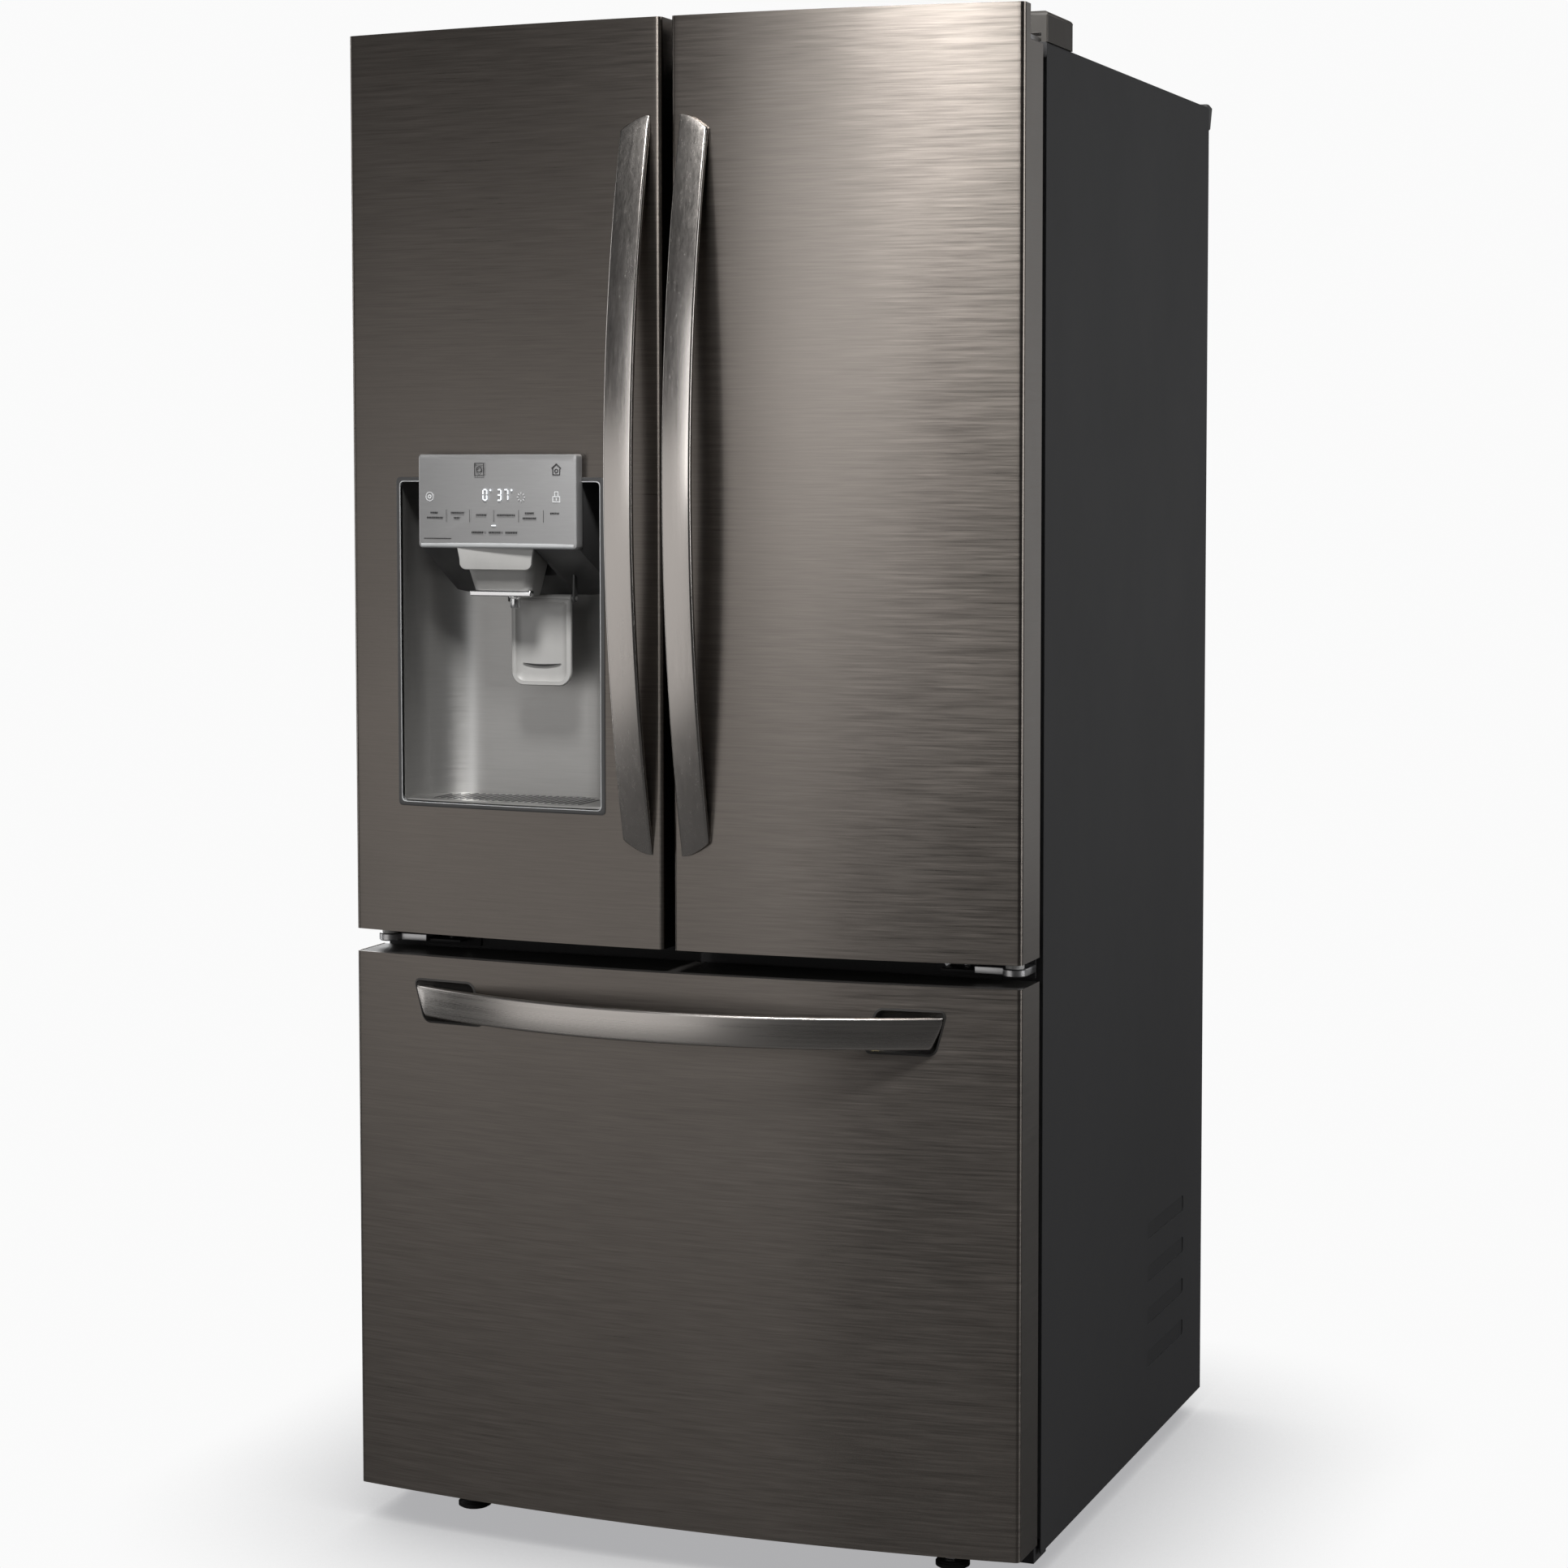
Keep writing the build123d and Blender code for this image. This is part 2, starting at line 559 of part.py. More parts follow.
LEFT = door_panel(-1)
RIGHT = door_panel(1)
DRAWER = Panel(
    0,
    (-HALF, HALF),
    (DRAWER_BOTTOM, DRAWER_TOP),
    (-HALF + RIM_IN + 30, HALF - RIM_IN - 30),
    (FREEZER_LOW + 15, FREEZER_HIGH - 15),
    grown((-CAVITY, CAVITY), GASKET + 6),
    (FREEZER_LOW - GASKET - 2, FREEZER_HIGH + GASKET + 2),
)


def niche_block(grow=0.0):
    """The space that the dispenser housing takes in the left door."""
    x = grown(NICHE_X, grow)
    body = block(x, (APEX_Y - 60, NICHE_BACK + NICHE_WALL + grow), grown(NICHE_Z, grow))
    rear = body.edges().filter_by(Axis.Z).sort_by(Axis.Y)[-2:]
    return fillet(rear, NICHE_CORNER + grow)


def niche_bulge(shrink=0.0):
    """The thick part of the left door behind the dispenser."""
    x = grown(LEFT.dyke_x, -shrink)
    z = grown(NICHE_Z, 18 - shrink)
    return block(x, (DOOR_BACK - LINER, NICHE_BACK + 34 - shrink), z)


def left_door_skin():
    """The left steel front, cut out for the dispenser."""
    return LEFT.skin() - niche_block()


def left_door_foam():
    """The left foam core, thick behind the dispenser."""
    return LEFT.foam() + niche_bulge(LINER) - niche_block()


def left_door_liner():
    """The left inner face, with the bulge behind the dispenser and the arms of the flip mullion."""
    body = LEFT.liner() + niche_bulge() - left_door_foam() - niche_block()
    x = (MULLION_X - 8, MULLION_X + 8)
    for low, high, tip in (
        (MULLION_LOW - 13, MULLION_LOW - SEAT, MULLION_LOW + 12),
        (MULLION_HIGH + SEAT, MULLION_HIGH + 13, MULLION_HIGH - 12),
    ):
        body += block(x, (DOOR_BACK - 1, MULLION_Y + 8), (low, high))
        body += rod_z(MULLION_X, MULLION_Y, (min(low, tip), max(high, tip)), MULLION_PIN_R)
    return body


def flip_mullion():
    """The bar that closes the gap between the doors, folded back against the left door."""
    x = (MULLION_X - MULLION_T / 2, MULLION_X + MULLION_T / 2)
    y = (MULLION_Y - MULLION_NEAR, MULLION_Y + MULLION_FAR)
    bar = block(x, y, (MULLION_LOW, MULLION_HIGH))
    bar = fillet(bar.edges().filter_by(Axis.Z), 3)
    for z in ((MULLION_LOW - 1, MULLION_LOW + 14), (MULLION_HIGH - 14, MULLION_HIGH + 1)):
        bar -= rod_z(MULLION_X, MULLION_Y, z, MULLION_PIN_R + RUN)
    return bar


def door_handle(centre_x, free_side, panel):
    """A bowed strip whose ends run into the door; the end nearer the gap is the longer one."""
    surface = front_y(centre_x)
    half = (HANDLE_HIGH - HANDLE_LOW) / 2 + HANDLE_BLUNT
    middle = (HANDLE_HIGH + HANDLE_LOW) / 2
    radius = (half**2 + HANDLE_BOW**2) / (2 * HANDLE_BOW)
    centre_y = surface - HANDLE_BOW + radius
    x = (centre_x - HANDLE_W / 2, centre_x + HANDLE_W / 2)
    ring = rod_x(x, centre_y, middle, radius) - rod_x(grown(x, 1), centre_y, middle, radius - HANDLE_T)
    near, far = (x[1], x[0]) if free_side > 0 else (x[0], x[1])
    outline = Polyline(
        (near, HANDLE_HIGH),
        (far, HANDLE_HIGH - HANDLE_SLANT),
        (far, HANDLE_LOW + HANDLE_SLANT),
        (near, HANDLE_LOW),
        close=True,
    )
    reach = extrude(Plane.XZ * make_face(outline), 400, both=True)
    front = block(grown(x, 20), (surface - HANDLE_BOW - 5, surface + 10), (HANDLE_LOW - 9, HANDLE_HIGH + 9))
    return (ring & reach & front) - bowed(panel.x, panel.z)


def handle_pockets(deep, grow=0.0):
    """The two recesses that the ends of the drawer handle sit in, as solid blocks."""
    low, high = DRAWER_HANDLE_HALF + 3 - POCKET_LONG, DRAWER_HANDLE_HALF + 3
    z = grown((DRAWER_HANDLE_Z - POCKET_TALL / 2, DRAWER_HANDLE_Z + POCKET_TALL / 2), grow)
    floor = front_y(low) + deep
    pockets = []
    for side in (-1, 1):
        x = sorted((side * low, side * high))
        body = block(grown(x, grow), (APEX_Y - 5, floor + grow), z)
        uprights = body.edges().filter_by(Axis.Y)
        pockets.append(fillet(uprights, 6 + grow))
    return pockets[0] + pockets[1]


def drawer_skin():
    """The steel drawer front, cut out for the handle pockets."""
    return DRAWER.skin() - handle_pockets(POCKET_DEEP + 20, 2.0)


def drawer_handle():
    """The bowed drawer handle, its two end blocks and the pocket cups that they stand in."""
    half = DRAWER_HANDLE_HALF
    end_y = front_y(half) - 2.0
    rise = end_y - DRAWER_HANDLE_Y
    radius = (half**2 + rise**2) / (2 * rise)
    centre_y = DRAWER_HANDLE_Y + radius
    z = (DRAWER_HANDLE_Z - DRAWER_HANDLE_H / 2, DRAWER_HANDLE_Z + DRAWER_HANDLE_H / 2)
    disc = rod_z(0, centre_y, z, radius)
    reach = block((-half, half), (DRAWER_HANDLE_Y - 1, front_y(half - POCKET_LONG) + POCKET_DEEP), z)
    strip = (disc - rod_z(0, centre_y, grown(z, 1), radius - HANDLE_T)) & reach
    for side in (-1, 1):
        lug = block(sorted((side * (half - 22), side * (half - 1))), (DRAWER_HANDLE_Y, reach.bounding_box().max.Y), z)
        strip += lug & disc
    cups = handle_pockets(POCKET_DEEP, 2.0) - handle_pockets(POCKET_DEEP)
    cups &= bowed(DRAWER.x, DRAWER.z)
    return strip + cups


def drawer_foam():
    """Drawer foam core, cut for the pocket cups."""
    return DRAWER.foam() - handle_pockets(POCKET_DEEP, 2.0)


# ================================================================ dispenser
def hood_low(y):
    """The height of the sloping underside of the dispenser's hood at y."""
    run = NICHE_BACK - (APEX_Y - PANEL_OUT)
    return PANEL_Z[0] - HOOD_DROP * (y - (APEX_Y - PANEL_OUT)) / run


def hood_block():
    """The wedge behind the control panel, down to the sloping underside."""
    front, rear = APEX_Y - PANEL_OUT, NICHE_BACK
    side = Polyline((front, PANEL_Z[0]), (rear, hood_low(rear)), (rear, NICHE_Z[1]), (front, NICHE_Z[1]), close=True)
    wedge = extrude(Plane.YZ * make_face(side), PANEL_X[1] - PANEL_X[0])
    return Pos(PANEL_X[0], 0, 0) * wedge


def dispenser_housing():
    """The moulded niche in the left door, with its hood and the ears that hold the lever."""
    front = bowed(LEFT.x, LEFT.z, back=NICHE_BACK + NICHE_WALL + 1)
    cavity = niche_block(-NICHE_WALL)
    body = (niche_block() & front) - cavity
    body += hood_block() & front & niche_block()
    body -= chute_block()
    for x in (LEVER_X[0] - 7, LEVER_X[1] + 1):
        ear = block((x, x + 6), (LEVER_Y - 6, LEVER_Y + 6), (LEVER_Z - 7, hood_low(LEVER_Y - 6) + 1))
        body += ear - chute_block()
        body -= rod_x((x - 1, x + 7), LEVER_Y, LEVER_Z, LEVER_PIN_R + RUN)
    return body


def control_panel():
    """The display panel that stands proud of the door over the top of the niche."""
    drum = rod_z(0, APEX_Y + BOW_R, grown(PANEL_Z, 1), BOW_R + PANEL_OUT)
    body = block(PANEL_X, (APEX_Y - PANEL_OUT - 1, EDGE_Y), PANEL_Z) & drum
    body -= bowed(LEFT.x, LEFT.z)
    sides = body.edges().filter_by(Axis.Y)
    return fillet(sides, PANEL_CORNER) - chute_block()


def chute_block():
    """The outside of the ice chute: it narrows downwards."""
    top_x, top_y = CHUTE_X, CHUTE_Y
    low_x = grown(top_x, -CHUTE_TAPER)
    low_y = (top_y[0] + CHUTE_TAPER, top_y[1] - CHUTE_TAPER / 2)
    sketches = []
    for x, y, z in ((top_x, top_y, PANEL_Z[0] + 8), (low_x, low_y, CHUTE_LOW)):
        sketches.append(Pos(sum(x) / 2, sum(y) / 2, z) * Rectangle(x[1] - x[0], y[1] - y[0]))
    return loft(sketches)


def dispenser_chute():
    """The ice chute, open down its middle, with the water nozzle beside the opening."""
    body = chute_block()
    hole_x, hole_y = grown(CHUTE_X, -CHUTE_TAPER - 8), (CHUTE_Y[0] + CHUTE_TAPER + 8, CHUTE_Y[1] - 15)
    body -= block((NOZZLE[0] + NOZZLE_R + 2, hole_x[1]), hole_y, (CHUTE_LOW - 1, PANEL_Z[0] + 2))
    nozzle = rod_z(*NOZZLE, (CHUTE_LOW - 15, CHUTE_LOW + 1), NOZZLE_R)
    nozzle -= rod_z(*NOZZLE, (CHUTE_LOW - 16, CHUTE_LOW - 3), NOZZLE_R - 2.5)
    return body + nozzle


def dispenser_lever():
    """The paddle that a cup pushes back, on its own pin."""
    paddle = block(LEVER_X, (LEVER_Y - LEVER_T, LEVER_Y), (LEVER_LOW, LEVER_Z))
    paddle = fillet(paddle.edges().filter_by(Axis.Y).filter_by(lambda e: e.center().Z < LEVER_LOW + 1), 16)
    barrel = rod_x(LEVER_X, LEVER_Y, LEVER_Z, 4.5)
    pin = rod_x((LEVER_X[0] - 6, LEVER_X[1] + 6), LEVER_Y, LEVER_Z, LEVER_PIN_R)
    return paddle + barrel + pin


def drip_tray():
    """The removable tray on the floor of the niche."""
    plan = niche_block(-NICHE_WALL - SEAT) & bowed(LEFT.x, LEFT.z, inset=3, back=NICHE_BACK)
    floor = NICHE_Z[0] + NICHE_WALL + SEAT
    return plan & block(grown(NICHE_X, 5), (APEX_Y - 5, NICHE_BACK), (floor - 1, floor + TRAY_T))


# ================================================================ on the doors, inside
def bin_on(panel, z, depth):
    """A door bin between the two uprights of a door's inner rim."""
    x = grown(panel.dyke_x, -DYKE_WALL - SEAT)
    body = tub(x, (DOOR_BACK + SEAT, DOOR_BACK + depth), z, BIN_WALL)
    return body


def left_door_bins():
    """The bin below the dispenser."""
    return [bin_on(LEFT, (FRIDGE_LOW + BIN_FOOT, NICHE_Z[0] - 22), LEFT_BIN_DEPTH)]


def right_door_bins():
    """Four bins, the lowest one for tall bottles."""
    pitch = (FRIDGE_HIGH - FRIDGE_LOW - BIN_FOOT) / len(RIGHT_BINS)
    bins = []
    for level, (height, depth) in enumerate(RIGHT_BINS):
        low = FRIDGE_LOW + BIN_FOOT + level * pitch
        bins.append(bin_on(RIGHT, (low, low + height), depth))
    return bins


def ice_room_span():
    """The outside of the ice room: its x, y and z spans."""
    x = grown(LEFT.dyke_x, -DYKE_WALL - SEAT)
    return x, (DOOR_BACK + SEAT, DOOR_BACK + ICE_DEPTH), (ICE_ROOM_LOW, LEFT.dyke_z[1] - DYKE_WALL - SEAT)


def ice_room():
    """Insulated box on the left door that holds the ice maker; its inner side is open for the bin."""
    x, y, z = ice_room_span()
    return block(x, y, z) - block(grown(x, -ICE_WALL), (y[0] + ICE_WALL, y[1] + 1), grown(z, -ICE_WALL))


def ice_maker():
    """The mould tray and its drive box."""
    x, y, z = ice_room_span()
    span = grown(x, -ICE_WALL - 12)
    high = z[1] - ICE_WALL - ICE_MAKER_DROP
    tray = block(span, (y[0] + ICE_WALL + SEAT, y[1] - 24), (high - ICE_MAKER_H, high))
    cells = 7
    pitch = (span[1] - 40 - span[0]) / cells
    for cell in range(cells):
        low = span[0] + 4 + cell * pitch
        tray -= block((low, low + pitch - 4), (y[0] + ICE_WALL + 12, y[1] - 30), (high - 30, high + 1))
    drive = block((span[1] - 36, span[1]), (y[0] + ICE_WALL + SEAT, y[1] - 24), (high - ICE_MAKER_H, high + 40))
    return tray + drive


def auger_axis():
    """The y and z of the ice auger's axis."""
    _, y, z = ice_room_span()
    return (y[0] + y[1]) / 2 + 2, z[0] + ICE_WALL + 44


def ice_bin_top():
    """The height of the ice bin's rim, under the ice maker."""
    _, _, z = ice_room_span()
    maker_low = z[1] - ICE_WALL - ICE_MAKER_DROP - ICE_MAKER_H
    return z[0] + ICE_BIN_FILL * (maker_low - z[0])


def ice_bin():
    """The bin under the ice maker, bored for the auger's shaft."""
    x, y, z = ice_room_span()
    span = grown(x, -ICE_WALL - SEAT)
    body = tub(span, (y[0] + ICE_WALL + 3, y[1] - 2), (z[0] + ICE_WALL + SEAT, ice_bin_top()), BIN_WALL)
    axis_y, axis_z = auger_axis()
    return body - rod_x(grown(span, 1), axis_y, axis_z, AUGER_R + RUN)


def ice_auger():
    """Shaft with paddles that pushes the ice along the bin."""
    x, _, _ = ice_room_span()
    span = grown(x, -ICE_WALL - 2 * SEAT)
    axis_y, axis_z = auger_axis()
    body = rod_x(span, axis_y, axis_z, AUGER_R)
    paddles = 6
    pitch = (span[1] - span[0] - 40) / paddles
    for turn in range(paddles):
        low = span[0] + 24 + turn * pitch
        blade = Pos(low, axis_y, axis_z) * Rot(turn * 60, 0, 0) * Box(6, 64, 12)
        body += blade
    return body


# ================================================================ in the fresh food space
def shelf_spans():
    """The x and z spans of every half shelf."""
    outer = CAVITY - SEAT
    return [(x, (z - SHELF_H, z)) for z in SHELF_LEVELS for x in ((-outer, -3), (3, outer))]


def glass_block(x, z, grow=0.0):
    """A shelf pane, or its seat when it is grown a little."""
    edge = GLASS_REST - grow
    return block(grown(x, -edge), grown((SHELF_FRONT, SHELF_BACK), -edge), (z[1] - GLASS_T, z[1] + grow))


def all_shelves():
    """Every half shelf, and the full-width cover over the crispers."""
    outer = CAVITY - SEAT
    return shelf_spans() + [((-outer, outer), (CRISPER_COVER - SHELF_H, CRISPER_COVER))]


def shelf_glass():
    """Tempered panes."""
    return [glass_block(x, z) for x, z in all_shelves()]


def shelf_frames():
    """Moulded shelf rims, and the rails that carry the crispers."""
    frames = []
    for x, z in all_shelves():
        rim = picture_y(x, (SHELF_FRONT, SHELF_BACK), z, SHELF_RIM)
        frames.append(rim - glass_block(x, z, 0.2))
    rail = (RAIL_TOP - CRISPER_RAIL, RAIL_TOP)
    y = (SHELF_FRONT, SHELF_BACK)
    frames.append(block((-3, 3), y, (RAIL_TOP, CRISPER_COVER - SHELF_H)))
    frames.append(block((-12, 12), y, rail))
    for side in (-1, 1):
        wall_rail = sorted((side * (CAVITY - SEAT), side * (CAVITY - 14)))
        frames.append(block(wall_rail, y, rail))
    return frames


def picture_y(x, y, z, width):
    """A flat rectangular ring that lies level."""
    return block(x, y, z) - block(grown(x, -width), grown(y, -width), grown(z, 1))


def crisper(side):
    """A vegetable drawer that hangs by its rims on two rails."""
    body_x = sorted((side * 15, side * (CAVITY - 17)))
    rim_x = sorted((side * 5, side * (CAVITY - 4)))
    y = (CRISPER_FRONT, SHELF_BACK - 8)
    low = FRIDGE_LOW + 10
    rim_z = (RAIL_TOP + SEAT, RAIL_TOP + SEAT + CRISPER_RIM)
    body = tub(body_x, y, (low, rim_z[1]), CRISPER_WALL)
    rims = block(rim_x, y, rim_z) - block(grown(body_x, -CRISPER_WALL), grown(y, -CRISPER_WALL), grown(rim_z, 1))
    pull = block(grown(body_x, -60), (y[0] - 14, y[0] + 1), (rim_z[0] - 26, rim_z[0] - 6))
    return body + rims + pull


# ================================================================ in the freezer
def drawer_rails_outer():
    """Fixed rails on the freezer walls."""
    right = block((CAVITY - RAIL_T - SEAT, CAVITY - SEAT), (6, STEP_FRONT - 6), (RAIL_Z, RAIL_Z + RAIL_H))
    right -= block((CAVITY - RAIL_T - 1, CAVITY - SEAT - 3), (5, STEP_FRONT), (RAIL_Z + 8, RAIL_Z + RAIL_H - 8))
    return [right, mirrored(right)]


def drawer_rails_inner():
    """Sliding rails fixed to the back of the drawer front, with the ledges that the basket hangs on."""
    outer = CAVITY - RAIL_T - 2 * SEAT
    y = (DOOR_BACK, STEP_FRONT - 20)
    right = block((outer - RAIL_T, outer), y, (RAIL_Z, RAIL_Z + RAIL_H))
    right += block((outer - RAIL_T - 16, outer), y, (RAIL_Z + RAIL_H - 4, RAIL_Z + RAIL_H))
    return [right, mirrored(right)]


def freezer_basket():
    """The deep freezer tub, which hangs by its side rims on the inner rails."""
    side = CAVITY - 2 * RAIL_T - 22
    y = (DOOR_BACK + DYKE + 6, STEP_FRONT - 16)
    body = tub((-side, side), y, (FREEZER_LOW + 24, BASKET_TOP), BASKET_WALL)
    ledge = RAIL_Z + RAIL_H + SEAT
    for sign in (-1, 1):
        rim = sorted((sign * (side - 1), sign * (side + 14)))
        body += block(rim, (y[0] + 30, y[1] - 20), (ledge, ledge + 4))
    return body


def basket_divider():
    """A plate across the basket, hooked over its front and back rims."""
    y = (DOOR_BACK + DYKE + 6, STEP_FRONT - 16)
    plate = block((-2, 2), grown(y, -BASKET_WALL - SEAT), (FREEZER_LOW + 30, BASKET_TOP + 6))
    for sign, edge in ((-1, y[0]), (1, y[1])):
        over = sorted((edge - sign * (BASKET_WALL + SEAT + 1), edge + sign * (SEAT + 3)))
        plate += block((-8, 8), over, (BASKET_TOP + SEAT, BASKET_TOP + 6))
        down = sorted((edge + sign * SEAT, edge + sign * (SEAT + 3)))
        plate += block((-8, 8), down, (BASKET_TOP - 14, BASKET_TOP + 6))
    return plate


def freezer_duct():
    """The cover in front of the evaporator, with the fan's hole, motor strut and shaft."""
    y = (CAVITY_BACK - 77, CAVITY_BACK - 73)
    body = block(grown((-CAVITY, CAVITY), -SEAT), y, (STEP_TOP + SEAT, FREEZER_HIGH - SEAT))
    body -= rod_y(0, grown(y, 1), FAN_Z, FAN_R + 4)
    body += block((-FAN_R - 8, FAN_R + 8), y, (FAN_Z - 8, FAN_Z + 8))
    body += rod_y(0, (y[0] - 8, y[1]), FAN_Z, 20)
    body += rod_y(0, (y[1] - 1, y[1] + 22), FAN_Z, AXLE_R)
    return body


def fan(start, hub_r, blade_r, blades, depth):
    """A fan whose axis is +z of start: hub, bore and pitched blades."""
    body = rod_z(0, 0, (0, depth), hub_r)
    for number in range(blades):
        blade = Pos((hub_r + blade_r) / 2 - 2, 0, depth / 2) * Rot(28, 0, 0) * Box(blade_r - hub_r + 2, 26, 2.2)
        body += Rot(0, 0, number * 360 / blades) * blade
    body &= rod_z(0, 0, (0, depth), blade_r)
    body -= rod_z(0, 0, (-1, depth + 1), AXLE_R + RUN)
    return start * body


def evaporator_fan():
    """The freezer's fan."""
    start = Pos(0, CAVITY_BACK - 73 + SEAT, FAN_Z) * Rot(-90, 0, 0)
    return fan(start, 17, FAN_R - 4, 5, 18)


def evaporator():
    """Finned coil behind the duct cover."""
    y = (CAVITY_BACK - 48, CAVITY_BACK - SEAT)
    x = (-240, 240)
    z = (STEP_TOP + 12, STEP_TOP + 230)
    fins = [block((x[0] + n * 40, x[0] + n * 40 + 2), y, z) for n in range(13)]
    body = fins[0]
    for fin in fins[1:]:
        body += fin
    for row in range(5):
        for depth in (0.27, 0.73):
            at = z[0] + 22 + row * 43
            body += rod_x((x[0] - 8, x[1] + 10), y[0] + depth * (y[1] - y[0]), at, 4)
    return body


# ================================================================ machine compartment
def machine_mid():
    """The middle of the machine compartment, front to back."""
    return (MACHINE_FRONT + CASE_DEPTH) / 2


def compressor():
    """Hermetic compressor on its four rubber feet."""
    y = machine_mid() + 4
    pot = rod_z(COMPRESSOR_X, y, (FOAM_BOTTOM + 14, FOAM_BOTTOM + 190), COMPRESSOR_R)
    pot = fillet(pot.edges().filter_by(GeomType.CIRCLE), 40)
    plate = block(grown((COMPRESSOR_X, COMPRESSOR_X), 92), grown((y, y), 62), (FOAM_BOTTOM + 10, FOAM_BOTTOM + 16))
    body = pot + plate
    for dx in (-80, 80):
        for dy in (-50, 50):
            body += rod_z(COMPRESSOR_X + dx, y + dy, (FOAM_BOTTOM, FOAM_BOTTOM + 12), 9)
    return body + block(grown((COMPRESSOR_X, COMPRESSOR_X), 26), (y - 92, y - 60), (120, 180))


def condenser_coil():
    """Finned condenser with the fan's shroud in front of it."""
    y = machine_mid()
    y_span = (y - 80, y + 80)
    z = (FOAM_BOTTOM, FOAM_BOTTOM + 190)
    body = block((MACHINE_FAN_X + 22, MACHINE_FAN_X + 26), y_span, z)
    body -= rod_x((MACHINE_FAN_X + 20, MACHINE_FAN_X + 28), y, sum(z) / 2, MACHINE_FAN_R + 4)
    body += block((MACHINE_FAN_X + 22, MACHINE_FAN_X + 26), y_span, (sum(z) / 2 - 8, sum(z) / 2 + 8))
    body += rod_x((MACHINE_FAN_X, MACHINE_FAN_X + 23), y, sum(z) / 2, AXLE_R)
    for row in range(6):
        at = z[0] + 20 + row * 30
        for depth in (-50, 0, 50):
            body += rod_x((MACHINE_FAN_X + 25, CONDENSER_X[1]), y + depth, at, 4)
    for n in range(12):
        low = CONDENSER_X[0] + n * 20
        body += block((low, low + 1.5), grown((y, y), 70), (FOAM_BOTTOM, z[1] - 10))
    return body


def condenser_fan():
    """The machine compartment's fan."""
    start = Pos(MACHINE_FAN_X + 22 - SEAT - 20, machine_mid(), FOAM_BOTTOM + 95) * Rot(0, 90, 0)
    return fan(start, 18, MACHINE_FAN_R - 4, 5, 20)


def machine_cover():
    """Louvred cover over the machine compartment, with the gland where the mains lead enters."""
    x = (-HALF + SHEET + 2, HALF - SHEET - 2)
    body = block(x, (CASE_DEPTH - SHEET, CASE_DEPTH), (FOAM_BOTTOM + SEAT, MACHINE_TOP - SEAT))
    slot_w, pitch = 5.0, 14.0
    for bank in (-190.0, 190.0):
        for n in range(10):
            low = bank - 70 + n * pitch
            body -= block((low, low + slot_w), (CASE_DEPTH - 5, CASE_DEPTH + 5), (150, 270))
    body -= rod_y(GLAND_X, (CASE_DEPTH - 5, CASE_DEPTH + 5), INLET_Z, 9)
    body -= rod_y(VALVE_X, (CASE_DEPTH - 5, CASE_DEPTH + 5), INLET_Z, INLET_R + 1)
    gland = rod_y(GLAND_X, (CASE_DEPTH - 10, CASE_DEPTH + 4), INLET_Z, 9)
    gland += rod_y(GLAND_X, (CASE_DEPTH, CASE_DEPTH + 5), INLET_Z, 13)
    gland -= rod_y(GLAND_X, (CASE_DEPTH - 11, CASE_DEPTH + 6), INLET_Z, 4)
    return [body, gland]


def water_valve():
    """Inlet valve with the threaded nipple for the supply line."""
    body = block(grown((VALVE_X, VALVE_X), 20), (CASE_DEPTH - 48, CASE_DEPTH - SHEET - SEAT), (95, 150))
    body += rod_z(VALVE_X, CASE_DEPTH - 26, (149, 185), 14)
    return body + rod_y(VALVE_X, (CASE_DEPTH - 20, CASE_DEPTH + INLET_LONG), INLET_Z, INLET_R)


